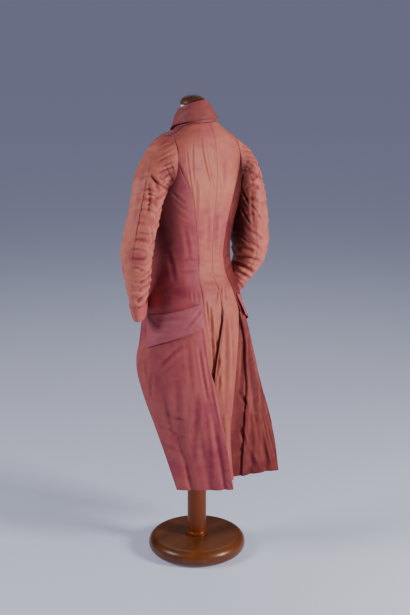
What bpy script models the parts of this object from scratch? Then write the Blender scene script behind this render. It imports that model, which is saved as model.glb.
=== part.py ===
import math
from bisect import bisect_right
from collections import namedtuple

import bmesh
import bpy
from mathutils import Vector

# Driving sizes in metres: +Z is up, the front faces -Y, the wearer's left is +X.
wallThickness = 0.0018
seamGap = 0.0003
squareness = 2.3
baseRadius = 0.145
baseThickness = 0.049
postRadius = 0.028
formFloor = 0.700
neckTop = 1.331
neckRadius = 0.033
neckLean = -0.012
capRadius = 0.035
capHeight = 0.026
capRim = 0.004
foldBackGap = 0.0075
cuffStandOff = 0.0034
sleeveClearance = 0.0020
armholeShrink = 0.988
shoulderShrink = 0.996
flapStandOffs = {"left": 0.0012, "right": 0.0020}

# Where the armhole lies on the body: heights, and turns from the centre back in degrees.
armholeMiddle = 1.1755
armholeReach = 0.0800
armholeTurn = 88.0
armholeLean = -4.0
armholeBackOpening = 39.0
armholeFrontOpening = 41.0
neckSeamTurn = 74.0
rightHemDrop = 0.008
hipClearance = 0.45
backBulge = 0.006

BodyRing = namedtuple("BodyRing", "height halfWidth back front frontDrop")
bodyRings = (
    BodyRing(0.560, 0.190, 0.128, -0.150, 0.000),
    BodyRing(0.640, 0.182, 0.124, -0.150, 0.000),
    BodyRing(0.740, 0.165, 0.106, -0.138, 0.000),
    BodyRing(0.810, 0.144, 0.093, -0.132, 0.000),
    BodyRing(0.860, 0.134, 0.069, -0.124, 0.000),
    BodyRing(0.920, 0.128, 0.063, -0.117, 0.000),
    BodyRing(0.990, 0.141, 0.067, -0.118, 0.000),
    BodyRing(1.040, 0.158, 0.073, -0.119, 0.000),
    BodyRing(1.110, 0.166, 0.080, -0.116, 0.000),
    BodyRing(1.180, 0.163, 0.081, -0.107, 0.000),
    BodyRing(1.215, 0.147, 0.078, -0.097, 0.000),
    BodyRing(1.242, 0.123, 0.072, -0.086, 0.004),
    BodyRing(1.265, 0.086, 0.062, -0.075, 0.014),
    BodyRing(1.286, 0.060, 0.051, -0.062, 0.045),
)

# Turns of the side back seam and of the front edge around the body, in degrees.
SeamRow = namedtuple("SeamRow", "height turn")
sideBackSeam = (
    SeamRow(0.810, 22.4),
    SeamRow(0.860, 20.6),
    SeamRow(0.920, 19.8),
    SeamRow(0.980, 21.5),
    SeamRow(1.040, 22.8),
    SeamRow(1.100, 28.0),
    SeamRow(1.145, 37.0),
    SeamRow(1.175, 43.5),
    SeamRow(1.205, 51.9),
)
frontEdge = (
    SeamRow(0.810, 138.0),
    SeamRow(0.860, 151.0),
    SeamRow(0.920, 162.0),
    SeamRow(1.000, 169.0),
    SeamRow(1.100, 172.0),
    SeamRow(1.200, 171.0),
    SeamRow(1.286, 166.0),
)

# Plan sections of the side skirts, from the pleat's fold round to the front edge.
SideSection = namedtuple(
    "SideSection", "height foldX foldY rearPullX rearPullY frontPullX frontPullY frontX frontY")
sideSkirts = {
    "left": (
        SideSection(0.229, -0.006, 0.140, 0.030, 0.115, 0.080, 0.065, 0.108, 0.024),
        SideSection(0.330, 0.012, 0.137, 0.055, 0.110, 0.105, 0.055, 0.128, 0.000),
        SideSection(0.430, 0.029, 0.131, 0.085, 0.110, 0.145, 0.030, 0.150, -0.024),
        SideSection(0.520, 0.046, 0.125, 0.110, 0.115, 0.185, 0.015, 0.172, -0.044),
        SideSection(0.600, 0.064, 0.113, 0.140, 0.105, 0.207, -0.008, 0.168, -0.076),
        SideSection(0.680, 0.073, 0.106, 0.150, 0.098, 0.200, -0.035, 0.132, -0.098),
        SideSection(0.740, 0.075, 0.104, 0.145, 0.097, 0.188, -0.050, 0.104, -0.116),
        SideSection(0.810, 0.066, 0.092, 0.125, 0.088, 0.175, -0.060, 0.100, -0.125),
    ),
    "right": (
        SideSection(0.229, 0.115, 0.082, 0.150, 0.092, 0.190, 0.110, 0.225, 0.129),
        SideSection(0.320, 0.112, 0.091, 0.145, 0.100, 0.185, 0.113, 0.219, 0.117),
        SideSection(0.410, 0.110, 0.098, 0.145, 0.102, 0.190, 0.100, 0.215, 0.092),
        SideSection(0.500, 0.113, 0.101, 0.155, 0.098, 0.200, 0.085, 0.208, 0.058),
        SideSection(0.590, 0.113, 0.099, 0.162, 0.093, 0.212, 0.042, 0.203, 0.002),
        SideSection(0.680, 0.100, 0.100, 0.155, 0.090, 0.205, -0.020, 0.165, -0.072),
        SideSection(0.740, 0.083, 0.097, 0.135, 0.088, 0.190, -0.045, 0.125, -0.110),
        SideSection(0.810, 0.066, 0.088, 0.108, 0.080, 0.170, -0.060, 0.100, -0.125),
    ),
}

# Plan sections of the back skirts, from the vent to the edge hidden in the pleat.
BackSection = namedtuple("BackSection", "height ventX ventY edgeX edgeY")
backSkirts = {
    "left": (
        BackSection(0.229, 0.006, 0.060, 0.058, 0.050),
        BackSection(0.320, 0.006, 0.066, 0.062, 0.058),
        BackSection(0.410, 0.000, 0.074, 0.068, 0.066),
        BackSection(0.500, -0.005, 0.082, 0.078, 0.074),
        BackSection(0.590, -0.013, 0.087, 0.086, 0.078),
        BackSection(0.680, -0.018, 0.092, 0.088, 0.080),
        BackSection(0.757, -0.003, 0.099, 0.078, 0.086),
        BackSection(0.810, 0.0015, 0.093, 0.063, 0.090),
    ),
    "right": (
        BackSection(0.229, 0.015, 0.055, 0.077, 0.080),
        BackSection(0.320, -0.002, 0.070, 0.058, 0.086),
        BackSection(0.404, -0.012, 0.086, 0.045, 0.0955),
        BackSection(0.466, -0.022, 0.097, 0.042, 0.106),
        BackSection(0.557, -0.030, 0.101, 0.050, 0.109),
        BackSection(0.680, -0.008, 0.102, 0.065, 0.105),
        BackSection(0.757, 0.001, 0.106, 0.069, 0.100),
        BackSection(0.810, 0.0015, 0.093, 0.063, 0.090),
    ),
}

# Where the under layer of each hip pleat ends, in plan.
PleatRow = namedtuple("PleatRow", "height endX endY")
pleatEnds = {
    "left": (
        PleatRow(0.229, 0.032, 0.090),
        PleatRow(0.320, 0.050, 0.088),
        PleatRow(0.430, 0.068, 0.090),
        PleatRow(0.520, 0.084, 0.094),
        PleatRow(0.600, 0.093, 0.091),
        PleatRow(0.700, 0.094, 0.091),
        PleatRow(0.780, 0.086, 0.095),
    ),
    "right": (
        PleatRow(0.229, 0.060, 0.050),
        PleatRow(0.320, 0.055, 0.062),
        PleatRow(0.430, 0.050, 0.078),
        PleatRow(0.520, 0.055, 0.086),
        PleatRow(0.600, 0.066, 0.086),
        PleatRow(0.700, 0.078, 0.084),
        PleatRow(0.780, 0.078, 0.086),
    ),
}

# Sleeve rings below the armhole: centre, half width across, half depth front to back.
SleeveRing = namedtuple("SleeveRing", "x y z halfWide halfDeep turn")
sleeveRings = {
    "left": (
        SleeveRing(0.164, 0.000, 1.150, 0.042, 0.056, 0.0),
        SleeveRing(0.193, 0.003, 1.090, 0.038, 0.048, 0.0),
        SleeveRing(0.212, 0.004, 1.030, 0.037, 0.046, 0.0),
        SleeveRing(0.222, -0.006, 0.965, 0.038, 0.046, 0.0),
        SleeveRing(0.215, -0.018, 0.915, 0.037, 0.042, 5.0),
        SleeveRing(0.205, -0.025, 0.870, 0.037, 0.035, 15.0),
        SleeveRing(0.196, -0.033, 0.820, 0.038, 0.024, 28.0),
        SleeveRing(0.183, -0.044, 0.760, 0.038, 0.017, 40.0),
    ),
    "right": (
        SleeveRing(0.170, 0.003, 1.156, 0.042, 0.057, 0.0),
        SleeveRing(0.196, 0.010, 1.090, 0.040, 0.053, 0.0),
        SleeveRing(0.201, 0.015, 1.030, 0.047, 0.057, 0.0),
        SleeveRing(0.204, 0.016, 0.965, 0.051, 0.059, 0.0),
        SleeveRing(0.213, 0.011, 0.900, 0.050, 0.056, 0.0),
        SleeveRing(0.218, -0.008, 0.852, 0.038, 0.043, 10.0),
        SleeveRing(0.206, -0.034, 0.805, 0.037, 0.031, 24.0),
        SleeveRing(0.190, -0.058, 0.765, 0.037, 0.020, 36.0),
    ),
}

# Large folds of a sleeve: share of the length, turn around it, and the trough's size.
SleeveFold = namedtuple("SleeveFold", "along around halfLength halfTurn depth lean")
sleeveFolds = {
    "left": (
        SleeveFold(0.22, 285.0, 0.022, 40.0, 0.0060, 0.0009),
        SleeveFold(0.36, 300.0, 0.022, 45.0, 0.0050, -0.0007),
        SleeveFold(0.52, 120.0, 0.024, 55.0, 0.0060, 0.0006),
        SleeveFold(0.62, 300.0, 0.024, 50.0, 0.0050, 0.0008),
        SleeveFold(0.74, 60.0, 0.022, 60.0, 0.0040, -0.0006),
    ),
    "right": (
        SleeveFold(0.20, 280.0, 0.022, 40.0, 0.0050, -0.0008),
        SleeveFold(0.40, 250.0, 0.022, 45.0, 0.0045, 0.0007),
        SleeveFold(0.60, 110.0, 0.024, 60.0, 0.0065, 0.0005),
        SleeveFold(0.66, 290.0, 0.022, 50.0, 0.0060, -0.0008),
        SleeveFold(0.78, 70.0, 0.022, 60.0, 0.0040, 0.0006),
    ),
}

# Soft flutes of the side skirts: share across at the hem and at the top of the flute.
Flute = namedtuple("Flute", "hemShare topShare topHeight halfWidth depth")
skirtFlutes = {
    "left": (
        Flute(0.16, 0.10, 0.62, 0.050, 0.0060),
        Flute(0.42, 0.34, 0.50, 0.060, 0.0050),
        Flute(0.72, 0.62, 0.60, 0.060, 0.0065),
    ),
    "right": (
        Flute(0.24, 0.14, 0.66, 0.080, 0.0060),
        Flute(0.68, 0.48, 0.56, 0.080, 0.0065),
    ),
}

# Rows of the panels, from the hem to the neck.
skirtHeights = (0.229, 0.285, 0.345, 0.405, 0.460, 0.515, 0.565, 0.615, 0.660, 0.705, 0.745, 0.780, 0.810)
bodyHeights = (0.838, 0.875, 0.920, 0.965, 1.015, 1.062)
armholeAngles = (30.0, 60.0, 90.0, 121.0, 150.0, 180.0)
shoulderHeights = (1.264, 1.275, 1.286)
hipRow = len(skirtHeights) - 1
pleatTopRow = hipRow - 2
armholeRow = hipRow + len(bodyHeights) + 1
seamTopRow = armholeRow + 3
shoulderRow = armholeRow + 5
neckRow = shoulderRow + len(shoulderHeights)

# Columns of a front panel: the side block, the armhole's floor and the chest.
sideColumns = 4
floorColumns = 2
chestColumns = 9
frontColumns = sideColumns + floorColumns + chestColumns
backColumns = 7
pleatColumns = 3

# The collar: a stand, its turn over, and the fall, from centre back to each end.
collarReachTurn = 163.0
collarColumns = 28
collarStandRows = 4
collarTurnRows = 3
collarFallRows = 4
collarTopRadius = 0.0385
collarTopLean = -0.013
collarTopBack = 1.343
collarTopDrop = 0.036
collarTurnRadius = 0.0022
collarFallLift = 0.13
collarFallFlare = 0.0075

# The pocket flaps, as shares across the side skirt and heights.
flapColumns = 11
flapRows = 4
flapRearShare = 0.03
flapFrontShare = 0.72
flapTopRear = 0.797
flapTopFront = 0.752
flapRearDrop = 0.062
flapFrontDrop = 0.088

# The two halves of a sleeve meet at the fore-arm seam and the hind-arm seam.
sleeveColumns = 10
sleeveRows = 17
sleeveSeamTurn = 62.0
cuffColumns = 18
cuffRows = 2
cuffSlit = 1.2
cuffStart = 0.915
cuffOpeningTurn = 240.0

# The padded form stands inside the coat and carries it on the shoulders.
formColumns = 24
formInset = 0.0115
formShoulderInset = 0.0034
formWaistHeight = 0.83
formNeckHeight = 1.262
formHeights = (
    0.700, 0.760, 0.840, 0.920, 0.990, 1.050, 1.110, 1.160,
    1.195, 1.220, 1.238, 1.250, 1.262, 1.275, 1.300, 1.331)

# Skirts hang free below this band, in which they leave the body's own form.
hangLow = 0.745
hangHigh = 0.810


def clearScene():
    for thing in list(bpy.data.objects):
        bpy.data.objects.remove(thing, do_unlink=True)


def mix(first, second, share):
    return first + (second - first) * share


def ease(start, end, value):
    share = min(max((value - start) / (end - start), 0.0), 1.0)
    return share * share * (3.0 - 2.0 * share)


def readTable(rows, key):
    """A row of a table at any key, read from a smooth curve through its rows."""
    keys = [row[0] for row in rows]
    key = min(max(key, keys[0]), keys[-1])
    low = min(max(bisect_right(keys, key) - 1, 0), len(rows) - 2)
    high = low + 1
    before = max(low - 1, 0)
    after = min(high + 1, len(rows) - 1)
    span = keys[high] - keys[low]
    share = (key - keys[low]) / span
    values = [key]
    for column in range(1, len(rows[0])):
        start = rows[low][column]
        end = rows[high][column]
        startSlope = (end - rows[before][column]) / (keys[high] - keys[before]) * span
        endSlope = (rows[after][column] - start) / (keys[after] - keys[low]) * span
        values.append(
            (2 * share**3 - 3 * share**2 + 1) * start
            + (share**3 - 2 * share**2 + share) * startSlope
            + (3 * share**2 - 2 * share**3) * end
            + (share**3 - share**2) * endSlope)
    return type(rows[0])(*values)


def bodyPoint(turn, height, inset=0.0):
    """A point of the coat's body; the turn runs from the centre back, in degrees."""
    ring = readTable(bodyRings, height)
    angle = math.radians(turn)
    power = 2.0 / squareness
    across = math.copysign(abs(math.sin(angle)) ** power, math.sin(angle))
    along = math.copysign(abs(math.cos(angle)) ** power, math.cos(angle))
    middle = (ring.back + ring.front) / 2.0
    reach = (ring.back - ring.front) / 2.0 - inset
    drop = ring.frontDrop * ((1.0 - math.cos(angle)) / 2.0) ** 2
    return Vector(((ring.halfWidth - inset) * across, middle + reach * along, height - drop))


def mirrored(point, side):
    return point if side == "left" else Vector((-point.x, point.y, point.z))


def armholeAngleAt(row):
    low = min(int(row), shoulderRow - 1)
    index = low - armholeRow
    return mix(armholeAngles[index], armholeAngles[index + 1], row - low)


def armholeEdge(angle, opening):
    """Turn and height on the armhole; the angle runs from its floor to the shoulder."""
    radians = math.radians(angle)
    turn = armholeTurn + armholeLean * angle / 180.0 + opening * math.sin(radians)
    return turn, armholeMiddle - armholeReach * math.cos(radians)


rowHeights = (
    list(skirtHeights) + list(bodyHeights)
    + [armholeEdge(angle, 0.0)[1] for angle in armholeAngles] + list(shoulderHeights))


def rowHeight(row):
    if armholeRow <= row < shoulderRow:
        return armholeEdge(armholeAngleAt(row), 0.0)[1]
    low = min(max(int(row), 0), len(rowHeights) - 2)
    return mix(rowHeights[low], rowHeights[low + 1], row - low)


def shoulderSeamTurn(row):
    top = armholeTurn + armholeLean
    return mix(top, neckSeamTurn, (row - shoulderRow) / (neckRow - shoulderRow))


def backEdgeTurn(row):
    if row <= seamTopRow:
        return readTable(sideBackSeam, rowHeight(row)).turn
    if row <= shoulderRow:
        return armholeEdge(armholeAngleAt(row), -armholeBackOpening)[0]
    return shoulderSeamTurn(row)


def fluteDepth(side, share, height):
    depth = 0.0
    for flute in skirtFlutes[side]:
        rise = (height - skirtHeights[0]) / (flute.topHeight - skirtHeights[0])
        if rise < 1.0:
            centre = mix(flute.hemShare, flute.topShare, rise)
            fade = 1.0 - ease(0.35, 1.0, rise)
            depth += flute.depth * fade * math.exp(-(((share - centre) / flute.halfWidth) ** 2))
    return depth


def sideSkirtPoint(side, share, height):
    """A point of the side skirt, in the wearer's left frame."""
    row = readTable(sideSkirts[side], height)
    rest = 1.0 - share
    weights = (rest**3, 3 * rest**2 * share, 3 * rest * share**2, share**3)
    x = sum(w * v for w, v in zip(weights, (row.foldX, row.rearPullX, row.frontPullX, row.frontX)))
    y = sum(w * v for w, v in zip(weights, (row.foldY, row.rearPullY, row.frontPullY, row.frontY)))
    return Vector((x, y, height))


def skirtInward(side, share, height):
    step = 0.01
    along = sideSkirtPoint(side, min(share + step, 1.0), height)
    along = along - sideSkirtPoint(side, max(share - step, 0.0), height)
    inward = Vector((along.y, -along.x, 0.0)).normalized()
    return inward


def frontTurn(column, row):
    """Turn of a front panel's column on the body above the hip."""
    height = rowHeight(row)
    seam = backEdgeTurn(min(row, seamTopRow))
    edge = readTable(frontEdge, height).turn
    chestStart = sideColumns + floorColumns
    if row >= armholeRow and column <= sideColumns:
        angle = armholeAngleAt(min(row, seamTopRow))
        return mix(seam, armholeEdge(angle, -armholeBackOpening)[0], column / sideColumns)
    if row >= armholeRow and column >= chestStart:
        start = shoulderSeamTurn(row)
        if row < shoulderRow:
            start = armholeEdge(armholeAngleAt(row), armholeFrontOpening)[0]
        return mix(start, edge, (column - chestStart) / chestColumns)
    floorAngle = armholeAngles[0]
    floorStart = armholeEdge(floorAngle, -armholeBackOpening)[0]
    floorEnd = armholeEdge(floorAngle, armholeFrontOpening)[0]
    if column <= sideColumns:
        worn = mix(seam, floorStart, column / sideColumns)
    elif column >= chestStart:
        worn = mix(floorEnd, edge, (column - chestStart) / chestColumns)
    else:
        worn = mix(floorStart, floorEnd, (column - sideColumns) / floorColumns)
    even = mix(seam, edge, column / frontColumns)
    return mix(even, worn, ease(0.92, rowHeights[armholeRow], height))


def floorDip(column, row):
    """How far the armhole's floor hangs below the panel's row."""
    middle = sideColumns + floorColumns / 2.0
    reach = floorColumns / 2.0
    if abs(column - middle) >= reach or row > armholeRow:
        return 0.0
    angle = armholeAngles[0] * (column - middle) / reach
    dip = armholeReach * (math.cos(math.radians(angle)) - math.cos(math.radians(armholeAngles[0])))
    return dip * ease(1.0, rowHeights[armholeRow], rowHeight(row))


def hung(point, side):
    """Lets the right tail hang a little lower than the left."""
    drop = rightHemDrop if side == "right" else 0.0
    point.z -= drop * (1.0 - ease(skirtHeights[0], 0.340, point.z))
    return mirrored(point, side)


def frontPoint(side, column, row):
    """A point of a front panel and its side skirt; columns below 0 are the pleat."""
    height = rowHeight(row)
    share = max(column, 0.0) / frontColumns
    turn = frontTurn(max(column, 0.0), row)
    worn = bodyPoint(turn, height - floorDip(column, row))
    if height >= skirtHeights[-1]:
        return mirrored(worn, side)
    hang = 1.0 - ease(hangLow, hangHigh, height)
    if column < 0.0:
        return hung(pleatPoint(side, -column, height), side)
    skirt = sideSkirtPoint(side, share, height)
    skirt = skirt + skirtInward(side, share, height) * fluteDepth(side, share, height)
    return hung(mix(worn, skirt, hang), side)


def pleatPoint(side, column, height):
    """The under layer of the hip pleat: a round turn, then a run to the hidden seam."""
    edge = sideSkirtPoint(side, 0.0, height)
    worn = bodyPoint(readTable(sideBackSeam, height).turn, height)
    edge = mix(worn, edge, 1.0 - ease(hangLow, hangHigh, height))
    inward = skirtInward(side, 0.0, height)
    rearward = Vector((inward.y, -inward.x, 0.0))
    radius = foldBackGap / 2.0
    bend = min(column, 1.0) * math.pi
    point = edge + inward * radius * (1.0 - math.cos(bend)) + rearward * radius * math.sin(bend)
    if column > 1.0:
        end = readTable(pleatEnds[side], height)
        share = (column - 1.0) / (pleatColumns - 1.0)
        point = mix(point, Vector((end.endX, end.endY, height)), share)
    return point


def backPoint(side, column, row):
    """A point of a back panel and its skirt; column 0 is the centre back."""
    height = rowHeight(row)
    share = column / backColumns
    clearance = hipClearance * math.exp(-(((height - skirtHeights[-1]) / 0.03) ** 2))
    worn = bodyPoint(share * (backEdgeTurn(row) - clearance), height)
    if height >= skirtHeights[-1]:
        return mirrored(worn, side)
    section = readTable(backSkirts[side], height)
    skirtX = mix(section.ventX, section.edgeX, share)
    skirtY = mix(section.ventY, section.edgeY, share)
    skirt = Vector((skirtX, skirtY, height))
    bulge = backBulge * math.sin(math.pi * share)
    across = Vector((section.edgeX - section.ventX, section.edgeY - section.ventY, 0.0)).normalized()
    skirt = skirt + Vector((-across.y, across.x, 0.0)) * bulge
    return hung(mix(worn, skirt, 1.0 - ease(hangLow, hangHigh, height)), side)


def armholePoint(around):
    """The armhole's seam on the left; around is 0 at the shoulder, 90 at the front."""
    if around <= 180.0:
        turn, height = armholeEdge(180.0 - around, armholeFrontOpening)
    else:
        turn, height = armholeEdge(around - 180.0, -armholeBackOpening)
    return turn, height


def sleeveRingPoint(side, index, around):
    rings = sleeveRings[side]
    ring = rings[index]
    ahead = rings[min(index + 1, len(rings) - 1)]
    behind = rings[max(index - 1, 0)]
    axis = Vector((ahead.x - behind.x, ahead.y - behind.y, ahead.z - behind.z)).normalized()
    if index == 0:
        axis = (axis + Vector((0.55, 0.0, -0.35))).normalized()
    twist = math.radians(ring.turn)
    outward = Vector((math.cos(twist), math.sin(twist), 0.0))
    outward = (outward - axis * outward.dot(axis)).normalized()
    forward = axis.cross(outward).normalized()
    if forward.y > 0.0:
        forward = -forward
    angle = math.radians(around)
    reach = outward * ring.halfWide * math.cos(angle) + forward * ring.halfDeep * math.sin(angle)
    return Vector((ring.x, ring.y, ring.z)) + reach


def sleeveLine(side, around):
    """Points down the sleeve at one turn around it, from the armhole to the wrist."""
    turn, height = armholePoint(around % 360.0)
    shrink = mix(armholeShrink, shoulderShrink, (1.0 + math.cos(math.radians(around))) / 2.0)
    turn = mix(armholeTurn, turn, shrink)
    height = mix(armholeMiddle, height, shrink)
    points = [bodyPoint(turn, height)]
    for index in range(len(sleeveRings[side])):
        points.append(sleeveRingPoint(side, index, around))
    return points


def curveAt(points, share):
    """A smooth curve through evenly counted points."""
    place = share * (len(points) - 1)
    low = min(int(place), len(points) - 2)
    part = place - low
    start = points[low]
    end = points[low + 1]
    startSlope = (end - points[max(low - 1, 0)]) / (2.0 if low > 0 else 1.0)
    last = low + 2 >= len(points)
    endSlope = (points[min(low + 2, len(points) - 1)] - start) / (1.0 if last else 2.0)
    return (
        start * (2 * part**3 - 3 * part**2 + 1) + startSlope * (part**3 - 2 * part**2 + part)
        + end * (3 * part**2 - 2 * part**3) + endSlope * (part**3 - part**2))


def sleeveFoldDepth(side, share, around):
    depth = 0.0
    for fold in sleeveFolds[side]:
        swing = (around - fold.around + 180.0) % 360.0 - 180.0
        drift = share - fold.along - fold.lean * swing
        depth += fold.depth * math.exp(-((drift / fold.halfLength) ** 2) - (swing / fold.halfTurn) ** 2)
    return depth


def clearOfBody(point, distance):
    """Moves a point of a sleeve out until it stands clear of the body's side."""
    ring = readTable(bodyRings, point.z)
    middle = (ring.back + ring.front) / 2.0
    reach = (ring.back - ring.front) / 2.0
    across = abs(point.x) / ring.halfWidth
    along = abs(point.y - middle) / reach
    level = (across**squareness + along**squareness) ** (1.0 / squareness)
    wanted = 1.0 + distance / reach
    if level >= wanted:
        return point
    return Vector((point.x * wanted / level, middle + (point.y - middle) * wanted / level, point.z))


def sleevePoint(side, around, share, standOff=0.0):
    points = sleeveLine(side, around)
    point = curveAt(points, share)
    quarters = [curveAt(sleeveLine(side, turn), share) for turn in (0.0, 90.0, 180.0, 270.0)]
    centre = sum(quarters, Vector()) / 4.0
    outward = (point - centre).normalized()
    point = clearOfBody(point, sleeveClearance * mix(0.5, 1.0, ease(0.0, 0.055, share)))
    fade = ease(0.06, 0.16, share) * (1.0 - ease(0.86, 0.94, share))
    point = point - outward * sleeveFoldDepth(side, share, around) * fade + outward * standOff
    return mirrored(point, side)


def collarPoint(column, row):
    """The collar: a stand round the neck, turned over at the top, and a short fall."""
    turn = mix(-collarReachTurn, collarReachTurn, column / collarColumns)
    foot = bodyPoint(turn, shoulderHeights[-1])
    angle = math.radians(turn)
    lift = (1.0 - math.cos(angle)) / 2.0
    top = Vector((
        collarTopRadius * math.sin(angle), collarTopLean + collarTopRadius * math.cos(angle),
        collarTopBack - collarTopDrop * lift))
    foot = foot + Vector((0.0, 0.0, seamGap * 1.4))
    outward = Vector((math.sin(angle), math.cos(angle), 0.0))
    if row <= collarStandRows:
        return mix(foot, top, row / collarStandRows)
    if row <= collarStandRows + collarTurnRows:
        bend = math.pi * (row - collarStandRows) / collarTurnRows
        return top + outward * collarTurnRadius * (1.0 - math.cos(bend)) + Vector(
            (0.0, 0.0, collarTurnRadius * math.sin(bend)))
    down = (row - collarStandRows - collarTurnRows) / collarFallRows
    start = top + outward * 2.0 * collarTurnRadius
    end = mix(foot, top, collarFallLift) + outward * collarFallFlare
    return mix(start, end, down) + outward * 0.002 * math.sin(math.pi * down)


def flapPoint(side, column, row):
    """A pocket flap: the panel's own points, moved out, prouder at its foot and rear."""
    across = column / flapColumns
    down = row / flapRows
    share = mix(flapRearShare, flapFrontShare, across)
    height = mix(flapTopRear, flapTopFront, across) - down * mix(flapRearDrop, flapFrontDrop, across)
    skirt = sideSkirtPoint(side, share, height)
    turn = mix(readTable(sideBackSeam, height).turn, readTable(frontEdge, height).turn, share)
    worn = bodyPoint(turn, height)
    point = mix(worn, skirt, 1.0 - ease(hangLow, hangHigh, height))
    proud = flapStandOffs[side] + wallThickness + down * (0.002 + 0.006 * (1.0 - across) ** 2)
    return mirrored(point - skirtInward(side, share, height) * proud, side)


def surfaceNormal(pointAt, column, row, columnSide, rowSide):
    """The surface's unit normal by small steps toward the cloth."""
    step = 0.02
    columnLow = column - (step if columnSide[0] else 0.0)
    columnHigh = column + (step if columnSide[1] else 0.0)
    rowLow = row - (step if rowSide[0] else 0.0)
    rowHigh = row + (step if rowSide[1] else 0.0)
    across = pointAt(columnHigh, row) - pointAt(columnLow, row)
    along = pointAt(column, rowHigh) - pointAt(column, rowLow)
    return across.cross(along).normalized()


def pullEdgesBack(bm, distance):
    """Moves the open edges in from the seam line by half a seam gap."""
    moves = {}
    for edge in bm.edges:
        if not edge.is_boundary:
            continue
        face = edge.link_faces[0]
        direction = (edge.verts[1].co - edge.verts[0].co).normalized()
        inward = face.normal.cross(direction).normalized()
        middle = (edge.verts[0].co + edge.verts[1].co) / 2.0
        if inward.dot(face.calc_center_median() - middle) < 0.0:
            inward = -inward
        for vert in edge.verts:
            moves[vert] = moves.get(vert, Vector()) + inward
    for vert, move in moves.items():
        vert.co += move * distance


def clothPiece(
        name, pointAt, columns, rows, material, firstColumn=0, isCloth=None, normalAt=None, flip=False):
    """A panel of one thickness: a grid shaped by its function, then given its wall."""
    bm = bmesh.new()
    marker = bm.verts.layers.int.new("place")
    bmesh.ops.create_grid(bm, x_segments=columns, y_segments=rows, size=1.0)
    places = {}
    for vert in bm.verts:
        column = round((vert.co.x + 1.0) / 2.0 * columns) + firstColumn
        row = round((vert.co.y + 1.0) / 2.0 * rows)
        places[vert] = (column, row)
    if isCloth:
        spare = []
        for face in bm.faces:
            column = min(places[vert][0] for vert in face.verts)
            row = min(places[vert][1] for vert in face.verts)
            if not isCloth(column, row):
                spare.append(face)
        bmesh.ops.delete(bm, geom=spare, context="FACES")
        places = {vert: place for vert, place in places.items() if vert.is_valid}
    normals = {}
    for vert, (column, row) in places.items():
        columnSide = [False, False]
        rowSide = [False, False]
        for face in vert.link_faces:
            for other in face.verts:
                columnSide[0] |= places[other][0] < column
                columnSide[1] |= places[other][0] > column
                rowSide[0] |= places[other][1] < row
                rowSide[1] |= places[other][1] > row
        normals[vert] = surfaceNormal(pointAt, column, row, columnSide, rowSide)
        if flip:
            normals[vert] = -normals[vert]
        if normalAt:
            given = normalAt(column, row)
            normals[vert] = given if given else normals[vert]
    for vert, (column, row) in places.items():
        vert.co = pointAt(column, row)
    bm.normal_update()
    pullEdgesBack(bm, seamGap * 0.62)
    ordered = list(places)
    for number, vert in enumerate(ordered):
        vert[marker] = number
    grown = bmesh.ops.extrude_face_region(bm, geom=bm.faces[:], use_keep_orig=True)
    for thing in grown["geom"]:
        if isinstance(thing, bmesh.types.BMVert):
            thing.co = thing.co - normals[ordered[thing[marker]]] * wallThickness
    bmesh.ops.recalc_face_normals(bm, faces=bm.faces[:])
    bmesh.ops.triangulate(bm, faces=bm.faces[:])
    mesh = bpy.data.meshes.new(name)
    bm.to_mesh(mesh)
    bm.free()
    mesh.shade_smooth()
    mesh.set_sharp_from_angle(angle=math.radians(50.0))
    mesh.materials.append(material)
    piece = bpy.data.objects.new(name, mesh)
    coatCollection.objects.link(piece)
    return piece


def makeMaterial(name, colour, roughness, metallic=0.0):
    material = bpy.data.materials.new(name)
    material.use_nodes = True
    shader = material.node_tree.nodes["Principled BSDF"]
    shader.inputs["Base Color"].default_value = (*colour, 1.0)
    shader.inputs["Roughness"].default_value = roughness
    shader.inputs["Metallic"].default_value = metallic
    material.diffuse_color = (*colour, 1.0)
    return material


def turnedPiece(name, profile, material, segments, lean=0.0):
    """A turned solid: its profile runs down the outer side and closes on the axis."""
    mesh = bpy.data.meshes.new(name)
    edges = [(index, index + 1) for index in range(len(profile) - 1)]
    mesh.from_pydata([(radius, 0.0, height) for radius, height in profile], edges, [])
    piece = bpy.data.objects.new(name, mesh)
    coatCollection.objects.link(piece)
    piece.location = (0.0, lean, 0.0)
    screw = piece.modifiers.new("Turned", "SCREW")
    screw.steps = segments
    screw.render_steps = segments
    screw.use_merge_vertices = True
    screw.merge_threshold = 0.00005
    screw.use_smooth_shade = True
    mesh.materials.append(material)
    return piece


def arcPoints(centreRadius, centreHeight, radius, startAngle, endAngle, count):
    points = []
    for index in range(count + 1):
        angle = math.radians(mix(startAngle, endAngle, index / count))
        points.append((centreRadius + radius * math.cos(angle), centreHeight + radius * math.sin(angle)))
    return points


def makeBacks(material):
    for side in ("left", "right"):
        clothPiece(
            "back_" + side, lambda column, row: backPoint(side, column, row),
            backColumns, neckRow, material, flip=side == "left")


def frontIsCloth(column, row):
    if column < 0:
        return row < pleatTopRow
    if row < armholeRow:
        return True
    if column < sideColumns:
        return row < seamTopRow
    return column >= sideColumns + floorColumns


def makeFronts(material):
    for side in ("left", "right"):
        clothPiece(
            "front_" + side, lambda column, row: frontPoint(side, column, row),
            frontColumns + pleatColumns, neckRow, material, firstColumn=-pleatColumns,
            isCloth=frontIsCloth, flip=side == "left")


def bodyNormal(around, side):
    turn, height = armholePoint(around % 360.0)
    step = 0.01
    across = bodyPoint(turn + 1.0, height) - bodyPoint(turn - 1.0, height)
    along = bodyPoint(turn, height + step) - bodyPoint(turn, height - step)
    return mirrored(along.cross(across).normalized(), side)


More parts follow.
